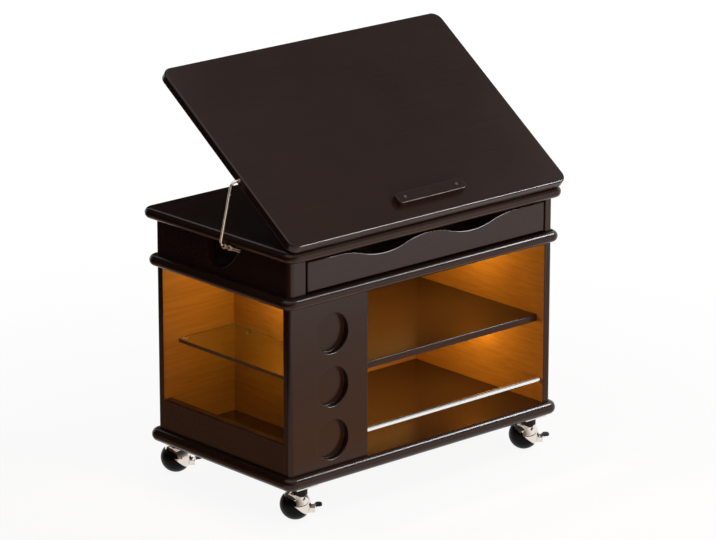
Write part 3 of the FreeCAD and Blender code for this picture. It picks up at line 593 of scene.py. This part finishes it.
def screw_tree():
    """Screws with a cross slot, one on each point, heads looking along the point's way."""
    tree, given = new_tree("cross_screws", ("Radius", "NodeSocketFloat"), ("Length", "NodeSocketFloat"),
                           ("Slot", "NodeSocketFloat"), ("Finish", "NodeSocketMaterial"))
    shank = add(tree, "GeometryNodeMeshCylinder",
                {"Vertices": SCREW_SIDES, "Radius": given["Radius"], "Depth": given["Length"]})
    long = add(tree, "ShaderNodeMath", {0: given["Radius"], 1: SLOT_REACH}, operation="MULTIPLY")
    cuts = []
    for order in ((long.outputs[0], given["Slot"]), (given["Slot"], long.outputs[0])):
        size = add(tree, "ShaderNodeCombineXYZ", {0: order[0], 1: order[1], 2: given["Slot"]})
        bar = add(tree, "GeometryNodeMeshCube", {"Size": size.outputs[0]})
        cuts.append(bar.outputs[0])
    half = add(tree, "ShaderNodeMath", {0: given["Length"], 1: 0.5}, operation="MULTIPLY")
    top = add(tree, "ShaderNodeCombineXYZ", {2: half.outputs[0]})
    down = add(tree, "ShaderNodeVectorMath", {0: top.outputs[0], 1: (-1, -1, -1)}, operation="MULTIPLY")
    body = shank.outputs[0]
    for cut in cuts:
        lifted = add(tree, "GeometryNodeTransform", {"Geometry": cut, "Translation": top.outputs[0]})
        body = add(tree, "GeometryNodeMeshBoolean", {"Mesh 1": body, "Mesh 2": lifted.outputs[0]},
                   operation="DIFFERENCE").outputs[0]
    seated = add(tree, "GeometryNodeTransform", {"Geometry": body, "Translation": down.outputs[0]})
    way = add(tree, "GeometryNodeInputNamedAttribute", {"Name": "way"}, data_type="FLOAT_VECTOR")
    turn = add(tree, "FunctionNodeAlignRotationToVector", {"Vector": way.outputs[0]}, axis="Z")
    roll = add(tree, "FunctionNodeRandomValue",
               {"Min": (0, 0, 0), "Max": (0, 0, math.pi), "Seed": SLOT_SEED}, data_type="FLOAT_VECTOR")
    turned = add(tree, "FunctionNodeRotateRotation",
                 {"Rotation": turn.outputs[0], "Rotate By": roll.outputs[0]}, rotation_space="LOCAL")
    screws = add(tree, "GeometryNodeInstanceOnPoints",
                 {"Points": given["Geometry"], "Instance": seated.outputs[0], "Rotation": turned.outputs[0]})
    end_tree(tree, screws.outputs[0], given["Finish"])
    return tree


def screws(name, places, radius, long, coat, body):
    """Grows screws at (point, way) places, their heads at the points."""
    seed = seed_mesh(name, [p for p, way in places], vectors={"way": [way for p, way in places]})
    tree = bpy.data.node_groups.get("cross_screws") or screw_tree()
    values = {"Radius": radius, "Length": long, "Slot": sizes().screw_slot, "Finish": finish(coat)}
    return grown(name, tree, seed, values, body)


def screw_ends(group, way):
    """Head point and length of a CAD screw whose head looks along way."""
    middle = sum(group, Vector()) / len(group)
    heights = [(p - middle).dot(way) for p in group]
    return middle + way * max(heights), max(heights) - min(heights)


# Operators

class DressBoards(bpy.types.Operator):
    """Base board, middle board and fixed top with rounded edges, in lacquer"""
    bl_idname = "side_table.boards"
    bl_label = "Boards"

    def execute(self, context):
        for node in ("base_board", "mid_board", "fixed_top"):
            finished(node, espresso_lacquer)
        return {"FINISHED"}


class DressWalls(bpy.types.Operator):
    """Cabinet walls, lacquered outside and laminated towards the bays, and the apron"""
    bl_idname = "side_table.walls"
    bl_label = "Walls"

    def execute(self, context):
        bays = {
            "front_left_panel": [(0, 1, 0)],
            "partition_panel": [(-1, 0, 0), (1, 0, 0)],
            "right_side_panel": [(-1, 0, 0)],
            "back_panel": [(0, -1, 0)],
            "left_side_rail": [(1, 0, 0)],
        }
        for node, ways in bays.items():
            finished(node, espresso_lacquer, walnut_laminate, arris=sizes().arris,
                     paint=faces_towards(*ways))
        for node in ("apron_left_post", "apron_left_side", "apron_left_cheek", "apron_right_side",
                     "apron_back"):
            finished(node, espresso_lacquer, arris=sizes().arris)
        return {"FINISHED"}


class DressShelves(bpy.types.Operator):
    """Lacquered shelf and glass shelf on chromed pins"""
    bl_idname = "side_table.shelves"
    bl_label = "Shelves"

    def execute(self, context):
        finished("mid_shelf", espresso_lacquer, arris=sizes().arris)
        sides = faces_towards((-1, 0, 0), (1, 0, 0), (0, -1, 0), (0, 1, 0))
        glass = finished("glass_shelf", clear_glass, ground_glass, arris=sizes().fine_arris, paint=sides)
        # Clear glass lets the light in the bay through
        glass.visible_shadow = False
        for node in ("mid_shelf_pins", "glass_shelf_pins"):
            finished(node, chrome_plate, arris=sizes().fine_arris)
        return {"FINISHED"}


class DressRail(bpy.types.Operator):
    """Chromed guard rail in front of the lower bay"""
    bl_idname = "side_table.rail"
    bl_label = "Guard rail"

    def execute(self, context):
        finished("guard_rail", satin_chrome, arris=sizes().fine_arris)
        return {"FINISHED"}


class DressLights(bpy.types.Operator):
    """Light channels with glowing lenses"""
    bl_idname = "side_table.lights"
    bl_label = "Bay lights"

    def execute(self, context):
        finished("led_channels", anodised_aluminium, arris=sizes().fine_arris)
        finished("led_lenses", frosted_lens, arris=sizes().fine_arris)
        return {"FINISHED"}


class DressDrawer(bpy.types.Operator):
    """Scooped drawer front, birch box and slides"""
    bl_idname = "side_table.drawer"
    bl_label = "Drawer"

    def execute(self, context):
        finished("drawer_front", espresso_lacquer, arris=sizes().fine_arris)
        for node in ("drawer_side_left", "drawer_side_right", "drawer_back"):
            finished(node, birch_ply, birch_edge, arris=sizes().arris, paint=faces_towards(UP, DOWN))
        finished("drawer_floor", birch_ply)
        for node in ("drawer_slides", "drawer_runners"):
            finished(node, zinc_plate, arris=sizes().fine_arris)
        return {"FINISHED"}


class DressLid(bpy.types.Operator):
    """Tilting lid with its book ledge, hinges and edge plugs"""
    bl_idname = "side_table.lid"
    bl_label = "Lid"

    def execute(self, context):
        finished("lid_panel", espresso_lacquer)
        finished("book_stop", espresso_lacquer)
        for node in ("hinge_fixed_leaves", "hinge_lid_leaves"):
            finished(node, black_enamel, arris=sizes().fine_arris)
        finished("hinge_pins", zinc_plate)
        for node in ("edge_caps_top", "edge_caps_lid"):
            finished(node, black_abs, arris=sizes().fine_arris)
        return {"FINISHED"}


# How far the prop wire's tip stops short of its socket
TIP_GAP = 0.4 * MM


class DressProp(bpy.types.Operator):
    """Bent prop wire, its bracket in the notch and its socket in the lid"""
    bl_idname = "side_table.prop"
    bl_label = "Prop wire"

    def execute(self, context):
        r = sizes().wire_r
        low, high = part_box("prop_wire")
        socket_low, socket_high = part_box("prop_socket")
        tip_y = (socket_low.y + socket_high.y) / 2
        tip_z = (socket_low.z + socket_high.z) / 2
        arm_x = high.x - r
        arm_z = low.z + r
        points = [
            Vector((socket_low.x - TIP_GAP, tip_y, tip_z)),
            Vector((low.x + r, tip_y, tip_z)),
            Vector((arm_x, high.y - r, arm_z)),
            Vector((arm_x, low.y, arm_z)),
        ]
        seed = seed_mesh("prop_path", points, [(0, 1), (1, 2), (2, 3)],
                         floats={"bend": [0, sizes().wire_bend, sizes().wire_elbow, 0]})
        values = {"Radius": r, "Finish": finish(champagne_nickel)}
        wire = grown("prop_wire_bent", wire_tree(), seed, values, "prop")
        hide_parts("prop_wire")
        for node in ("prop_bracket", "prop_socket"):
            finished(node, champagne_nickel, arris=sizes().fine_arris)
        return {"FINISHED"}


class DressCasters(bpy.types.Operator):
    """Ball casters: chromed hoods and pedals, black treads and collars"""
    bl_idname = "side_table.casters"
    bl_label = "Casters"

    def execute(self, context):
        finished("caster_mounts", chrome_plate, arris=sizes().fine_arris)
        for corner in CORNERS:
            finished("caster_hood_" + corner, caster_chrome, arris=sizes().fine_arris)
            finished("caster_collar_" + corner, black_abs, arris=sizes().fine_arris)
            finished("caster_wheel_" + corner, black_rubber, arris=sizes().arris)
            finished("caster_axle_" + corner, zinc_plate)
            pedal = finished("brake_lever_" + corner, caster_chrome, arris=sizes().fine_arris)
            self.dip(pedal, corner)
        return {"FINISHED"}

    def dip(self, pedal, corner):
        """Dipped pad over the pedal's tip: the end of the pedal, grown by the skin."""
        side = Vector(JOINTS["brake_press_" + corner]["axis"])
        ahead = side.cross(UP)
        work = bmesh.new()
        work.from_mesh(pedal.data)
        tip = max(work.verts, key=lambda v: v.co.dot(ahead)).co.dot(ahead)
        start = ahead * (tip - sizes().pad_len)
        everything = work.verts[:] + work.edges[:] + work.faces[:]
        bmesh.ops.bisect_plane(work, geom=everything, plane_co=start, plane_no=ahead, clear_inner=True)
        bmesh.ops.holes_fill(work, edges=[e for e in work.edges if e.is_boundary])
        bmesh.ops.recalc_face_normals(work, faces=work.faces)
        work.normal_update()
        for point in work.verts:
            point.co += point.normal * sizes().pad_skin
        mesh = bpy.data.meshes.new("brake_pad_" + corner)
        work.to_mesh(mesh)
        work.free()
        mesh.materials.append(finish(dipped_vinyl))
        smooth(mesh)
        pad = place_piece("brake_pad_" + corner, mesh, "brake_" + corner)
        soften(pad, sizes().pad_skin)


# Caster plates: thickness, screws from the edge, how far a screw's head stands out, and its length
PLATE_THICK = 2.5 * MM
PLATE_SCREW_IN = 6 * MM
PLATE_SCREW_OUT = 0.8 * MM
PLATE_SCREW_LONG = 2 * MM


class DressScrews(bpy.types.Operator):
    """Cross-slotted screws in hinges, bracket, book ledge and caster plates"""
    bl_idname = "side_table.screws"
    bl_label = "Screws"

    def execute(self, context):
        self.cabinet_screws()
        self.lid_screws()
        self.plate_screws()
        return {"FINISHED"}

    def cabinet_screws(self):
        """Hinge screws that look up out of the fixed top, and the bracket's screws that look down."""
        bracket_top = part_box("prop_bracket")[1].z
        places = []
        lengths = []
        for group in islands("cabinet_screws"):
            way = DOWN if min(p.z for p in group) < bracket_top else UP
            head, long = screw_ends(group, way)
            places.append((head, way))
            lengths.append(long)
        made = screws("hinge_screws_fixed", places, sizes().screw_r, min(lengths), zinc_plate, "cabinet")
        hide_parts("cabinet_screws")

    def lid_screws(self):
        """Hinge screws that look down at the fixed top, and the ledge's screws that look up."""
        between = (sizes().screw_r + sizes().stop_screw_r) / 2
        hinge = []
        stop = []
        for group in islands("lid_screws"):
            middle = sum(group, Vector()) / len(group)
            if max(abs((p - middle).x) for p in group) > between:
                stop.append(screw_ends(group, LID_NORMAL))
            else:
                hinge.append(screw_ends(group, -LID_NORMAL))
        made = screws("hinge_screws_lid", [(head, -LID_NORMAL) for head, long in hinge],
                      sizes().screw_r, hinge[0][1], zinc_plate, "lid")
        ledge = screws("ledge_screws", [(head, LID_NORMAL) for head, long in stop],
                       sizes().stop_screw_r, stop[0][1], dark_nickel, "lid")
        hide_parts("lid_screws")

    def plate_screws(self):
        """Four screws up through each caster plate."""
        low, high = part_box("caster_mounts")
        first = Vector(JOINTS["caster_swivel_front_left"]["pos_m"])
        half_x = first.x - low.x - PLATE_SCREW_IN
        half_y = first.y - low.y - PLATE_SCREW_IN
        head_z = high.z - PLATE_THICK - PLATE_SCREW_OUT
        places = []
        for corner in CORNERS:
            at = Vector(JOINTS["caster_swivel_" + corner]["pos_m"])
            for x in (-half_x, half_x):
                for y in (-half_y, half_y):
                    places.append((Vector((at.x + x, at.y + y, head_z)), DOWN))
        made = screws("caster_plate_screws", places, sizes().plate_screw_r, PLATE_SCREW_LONG, zinc_plate,
                      "cabinet")


# Corners of a flat square, in half widths
SQUARE = ((-1, -1), (1, -1), (1, 1), (-1, 1))

# Floor, in metres: its reach, the strength of its white, the ring in which the table's shadow
# fades out and the share of plain white inside that ring
FLOOR_REACH = 20
FLOOR_WHITE = 1.06
SHADOW_FROM = 0.6
SHADOW_TO = 2.5
PLAIN_SHARE = 0.86

# Share of the front fills' power that the upper one has
UPPER_FILL = 0.45

# Lamps that stand for a lens: how many, their radius, and how far they keep from the lens's ends,
# its front and its face
BAY_LAMPS = 5
BAY_LAMP_R = 15 * MM
BAY_LAMP_IN = 30 * MM
BAY_LAMP_AHEAD = 150 * MM
BAY_LAMP_DROP = 12 * MM

# Cards: how high a board lies on the floor, the near and the far edge of the front board in metres,
# the nodes that mirror it, the strips' tint and the ray depth that only a first mirror stays under
BOARD_LIFT = 3 * MM
FRONT_BOARD_Y = (-0.36, -1.05)
FRONT_NODES = ("base_board", "mid_board", "fixed_top", "front_left_panel", "right_side_panel", "mid_shelf",
               "apron_left_post", "apron_right_side", "drawer_front", "lid_panel", "book_stop",
               "guard_rail", "back_panel", "partition_panel")
STRIP_TINT = "EEF4F8"
FIRST_MIRROR = 1.5

# Camera: sensor in millimetres, and what it sees in metres
SENSOR_MM = 36
CLIP_NEAR = 0.1
CLIP_FAR = 60


class BuildStage(bpy.types.Operator):
    """Pale floor, soft studio light, the light in the bays and the camera"""
    bl_idname = "side_table.stage"
    bl_label = "Stage"

    def execute(self, context):
        setup = context.scene.side_table_stage
        context.scene.view_settings.view_transform = "Standard"
        self.floor()
        self.sky(setup)
        self.lamps(setup)
        self.bay_lamps(setup)
        self.cards()
        self.camera(setup)
        return {"FINISHED"}

    def seen(self, tree):
        """1 on rays from the camera, a mirror or glass, which see the plain white studio."""
        path = add(tree, "ShaderNodeLightPath").outputs
        first = add(tree, "ShaderNodeMath", {0: path["Is Camera Ray"], 1: path["Is Glossy Ray"]},
                    operation="MAXIMUM")
        return add(tree, "ShaderNodeMath", {0: first.outputs[0], 1: path["Is Transmission Ray"]},
                   operation="MAXIMUM").outputs[0]

    def stage_coat(self, name):
        """Empty material of the stage and its tree."""
        coat = bpy.data.materials.new(name)
        coat.use_nodes = True
        coat.node_tree.nodes.clear()
        return coat, coat.node_tree

    def sheet(self, name, corners, coat):
        """One flat face in the scene."""
        mesh = bpy.data.meshes.new(name)
        mesh.from_pydata(corners, [], [(0, 1, 2, 3)])
        mesh.materials.append(coat)
        return put(name, mesh)

    def floor(self):
        """White floor that keeps the table's shadow and is plain white farther out."""
        paint, tree = self.stage_coat("studio_floor_paint")
        matt = add(tree, "ShaderNodeBsdfDiffuse", {"Color": rgba(colours().floor)})
        white = add(tree, "ShaderNodeEmission", {"Color": (1, 1, 1, 1), "Strength": FLOOR_WHITE})
        place = add(tree, "ShaderNodeTexCoord").outputs["Object"]
        away = add(tree, "ShaderNodeVectorMath", {0: place}, operation="LENGTH")
        plain = add(tree, "ShaderNodeMapRange", {"Value": away.outputs["Value"], "From Min": SHADOW_FROM,
                                                 "From Max": SHADOW_TO, "To Min": PLAIN_SHARE})
        share = add(tree, "ShaderNodeMath", {0: self.seen(tree), 1: plain.outputs[0]}, operation="MULTIPLY")
        mixed = add(tree, "ShaderNodeMixShader",
                    {0: share.outputs[0], 1: matt.outputs[0], 2: white.outputs[0]})
        add(tree, "ShaderNodeOutputMaterial", {"Surface": mixed.outputs[0]})
        corners = [(x * FLOOR_REACH, y * FLOOR_REACH, 0) for x, y in SQUARE]
        floor = self.sheet("studio_floor", corners, paint)

    def sky(self, setup):
        """Even light from all round, which the camera and mirrors see as white."""
        world = bpy.data.worlds.new("studio")
        bpy.context.scene.world = world
        world.use_nodes = True
        tree = world.node_tree
        tree.nodes.clear()
        level = add(tree, "ShaderNodeMapRange", {"Value": self.seen(tree), "To Min": setup.sky})
        light = add(tree, "ShaderNodeBackground", {"Color": (1, 1, 1, 1), "Strength": level.outputs[0]})
        add(tree, "ShaderNodeOutputWorld", {"Surface": light.outputs[0]})

    def lamp(self, name, watts, tint, place, target, size):
        """Rectangular lamp that faces a target. The camera doesn't see it."""
        data = bpy.data.lights.new(name, "AREA")
        data.shape = "RECTANGLE"
        data.size, data.size_y = size
        data.energy = watts
        data.color = linear(tint)
        lamp = put(name, data)
        lamp.location = place
        lamp.rotation_euler = (Vector(target) - Vector(place)).to_track_quat("-Z", "Y").to_euler()
        lamp.visible_camera = False
        return lamp

    def lamps(self, setup):
        """Softbox at the front right, two fills in front and a panel overhead, which alone is mirrored."""
        key = self.lamp("key_softbox", setup.key_power, "FFFEFD",
                        place=(2.3, -1.04, 2.9), target=(0, 0, 0.35), size=(0.5, 0.5))
        front = self.lamp("front_fill", setup.fill_power * UPPER_FILL, "FFF2E8",
                          place=(0.5, -2.4, 0.8), target=(0, 0, 0.3), size=(1.2, 0.4))
        low = self.lamp("low_fill", setup.fill_power * (1 - UPPER_FILL), "FFA870",
                        place=(-0.4, -1.9, 0.1), target=(0, 0, 0.3), size=(1.2, 0.4))
        for lamp in (key, front, low):
            lamp.visible_glossy = False
        self.lamp("top_panel", setup.top_power, "FFFEFC",
                  place=(-0.6, -0.4, 2.8), target=(0, 0, 0.4), size=(1.6, 1.6))

    def bay_lamps(self, setup):
        """Warm light from each lens, as a row of small lamps in front of it."""
        for i, group in enumerate(islands("led_lenses")):
            low = Vector([min(p[k] for p in group) for k in range(3)])
            high = Vector([max(p[k] for p in group) for k in range(3)])
            wide = high.x - low.x
            for j in range(BAY_LAMPS):
                data = bpy.data.lights.new("bay_lamp_%d_%d" % (i, j), "POINT")
                data.energy = setup.bay_power * math.sqrt(wide) / BAY_LAMPS
                data.color = colours().bay_light
                data.shadow_soft_size = BAY_LAMP_R
                lamp = put(data.name, data)
                along = BAY_LAMP_IN + j / (BAY_LAMPS - 1) * (wide - 2 * BAY_LAMP_IN)
                lamp.location = (low.x + along, low.y - BAY_LAMP_AHEAD, low.z - BAY_LAMP_DROP)
                lamp.visible_camera = False
                lamp.visible_glossy = False

    def card(self, name, coat, place, target, size, diffuse=False):
        """Flat card that faces a target. Mirrors see it, the camera doesn't, and it casts no shadow."""
        turn = (Vector(target) - Vector(place)).to_track_quat("Z", "Y")
        corners = [Vector(place) + turn @ Vector((x * size[0] / 2, y * size[1] / 2, 0)) for x, y in SQUARE]
        card = self.sheet(name, corners, coat)
        card.visible_camera = False
        card.visible_shadow = False
        card.visible_diffuse = diffuse
        return card

    def board(self, name, coat, middle, size):
        """Card that lies on the floor and looks up."""
        return self.card(name, coat, (*middle, BOARD_LIFT), (*middle, 1), size)

    def strip(self, name, level, place, target, size, nodes):
        """Strip light that shows only in the edges of these nodes, and in no mirror of a mirror."""
        coat, tree = self.stage_coat(name + "_silk")
        depth = add(tree, "ShaderNodeLightPath").outputs["Ray Depth"]
        first = add(tree, "ShaderNodeMath", {0: depth, 1: FIRST_MIRROR}, operation="LESS_THAN")
        shine = add(tree, "ShaderNodeMath", {0: first.outputs[0], 1: level}, operation="MULTIPLY")
        self.end_coat(tree, rgba(linear(STRIP_TINT)), shine.outputs[0])
        self.light_only(self.card(name, coat, place, target, size), nodes)

    def light_only(self, card, nodes):
        """Makes a card shine on these nodes alone. In other mirrors it is black."""
        lit = bpy.data.collections.new(card.name + "_receivers")
        for node in nodes:
            lit.objects.link(bpy.data.objects[node + "_finished"])
        card.light_linking.receiver_collection = lit

    def end_coat(self, tree, tone, level):
        """Makes a card show this tone at this level."""
        light = add(tree, "ShaderNodeEmission", {"Color": tone, "Strength": level})
        add(tree, "ShaderNodeOutputMaterial", {"Surface": light.outputs[0]})

    def card_coat(self, name, tint, level):
        """Cloth or board of one tint."""
        coat, tree = self.stage_coat(name)
        self.end_coat(tree, rgba(linear(tint)), level)
        return coat

    def graded_coat(self, name, axis, span, tints, level):
        """Cloth or board that goes from one tint to another along an axis."""
        coat, tree = self.stage_coat(name)
        split = add(tree, "ShaderNodeSeparateXYZ", {0: add(tree, "ShaderNodeTexCoord").outputs["Object"]})
        fade = add(tree, "ShaderNodeMapRange",
                   {"Value": split.outputs[axis], "From Min": span[0], "From Max": span[1]})
        tone = add(tree, "ShaderNodeMix", {MIX_FACTOR: fade.outputs[0], MIX_A: rgba(linear(tints[0])),
                                           MIX_B: rgba(linear(tints[1]))}, data_type="RGBA")
        self.end_coat(tree, tone.outputs[MIX_OUT], level)
        return coat

    def cards(self):
        """Cards for lacquer and metal to mirror: dark cloths, boards on the floor and two strip lights."""
        black = self.card_coat("black_flag_cloth", "1A1A1A", 0.1)
        grey = self.card_coat("grey_flag_cloth", "FFFFFF", 0.24)
        dusk = self.graded_coat("camera_side_cloth", "X", (-1.2, 1.0), ("6E6450", "F4F0EA"), 1.0)
        dim = self.card_coat("dim_reflector_board", "FFB080", 0.4)
        warm = self.graded_coat("warm_reflector_board", "Y", FRONT_BOARD_Y, ("FFBE88", "D8D4D2"), 1.2)
        bright = self.card_coat("bright_reflector_board", "FFFFFF", 1.6)
        self.card("left_flag", black, place=(-0.9, 0.4, 0.4), target=(0, 0.4, 0.4), size=(3.2, 0.8),
                  diffuse=True)
        self.card("back_flag", black, place=(0.8, 1.3, 1.0), target=(-0.28, 0.1, 0.47), size=(1.6, 1.0))
        self.card("corner_flag", black, place=(-0.9, 1.5, 1.7), target=(-0.3, 0, 0.4), size=(1.6, 1.6))
        self.card("lid_flag", grey, place=(1.66, -0.13, 2.6), target=(0, -0.02, 0.6), size=(2.2, 0.95))
        self.card("camera_card", dusk, place=(-0.6, -2.5, 1.5), target=(-0.6, 0, 1.5), size=(3.4, 3.0))
        near, far = FRONT_BOARD_Y
        front = self.board("front_board", warm, middle=(0.45, (near + far) / 2), size=(2.2, near - far))
        self.light_only(front, FRONT_NODES)
        self.board("drawer_board", bright, middle=(0.45, -1.25), size=(2.2, 0.4))
        self.board("left_board", dim, middle=(-0.56, 0.7), size=(0.46, 1.6))
        self.board("floor_flag", black, middle=(-1.2, 1.0), size=(0.8, 2.0))
        self.strip("edge_strip", level=44, place=(3.25, -1.5, 3.55), target=(3.25, -0.19, 0.35),
                   size=(1.9, 1.2), nodes=("base_board", "mid_board", "mid_shelf"))
        self.strip("lid_strip", level=58, place=(2.8, -2.8, 2.4), target=(0, -0.19, 0.48),
                   size=(2.4, 0.9), nodes=("lid_panel", "book_stop", "drawer_front", "front_left_panel"))

    def camera(self, setup):
        """Camera in the place from which the photo was taken."""
        data = bpy.data.cameras.new("studio_camera")
        data.sensor_width = SENSOR_MM
        data.lens = setup.lens
        data.clip_start = CLIP_NEAR
        data.clip_end = CLIP_FAR
        camera = put("studio_camera", data)
        camera.location = setup.place
        camera.rotation_euler = (math.pi / 2 - setup.pitch, 0, -setup.yaw)
        bpy.context.scene.camera = camera


class SideTablePanel(bpy.types.Panel):
    """Lists the steps and settings of the side table"""
    bl_idname = "VIEW3D_PT_side_table"
    bl_label = "Side Table"
    bl_space_type = "VIEW_3D"
    bl_region_type = "UI"
    bl_category = "Side Table"

    def draw(self, context):
        for step in STEPS:
            self.layout.operator(step.bl_idname)
        for group in SETTINGS:
            box = self.layout.box()
            for name in SETTINGS[group].__annotations__:
                box.prop(getattr(context.scene, group), name)


STEPS = (DressBoards, DressWalls, DressShelves, DressRail, DressLights, DressDrawer, DressLid, DressProp,
         DressCasters, DressScrews, BuildStage)
SETTINGS = {"side_table_sizes": SideTableSizes, "side_table_colours": SideTableColours,
            "side_table_stage": SideTableStage}


def register():
    for made in (*SETTINGS.values(), *STEPS, SideTablePanel):
        bpy.utils.register_class(made)
    for name, made in SETTINGS.items():
        setattr(bpy.types.Scene, name, bpy.props.PointerProperty(type=made))


def unregister():
    for name in SETTINGS:
        delattr(bpy.types.Scene, name)
    for made in (SideTablePanel, *reversed(STEPS), *SETTINGS.values()):
        bpy.utils.unregister_class(made)


def main():
    register()
    bpy.ops.side_table.boards()
    bpy.ops.side_table.walls()
    bpy.ops.side_table.shelves()
    bpy.ops.side_table.rail()
    bpy.ops.side_table.lights()
    bpy.ops.side_table.drawer()
    bpy.ops.side_table.lid()
    bpy.ops.side_table.prop()
    bpy.ops.side_table.casters()
    bpy.ops.side_table.screws()
    bpy.ops.side_table.stage()


if __name__ == "__main__":
    main()
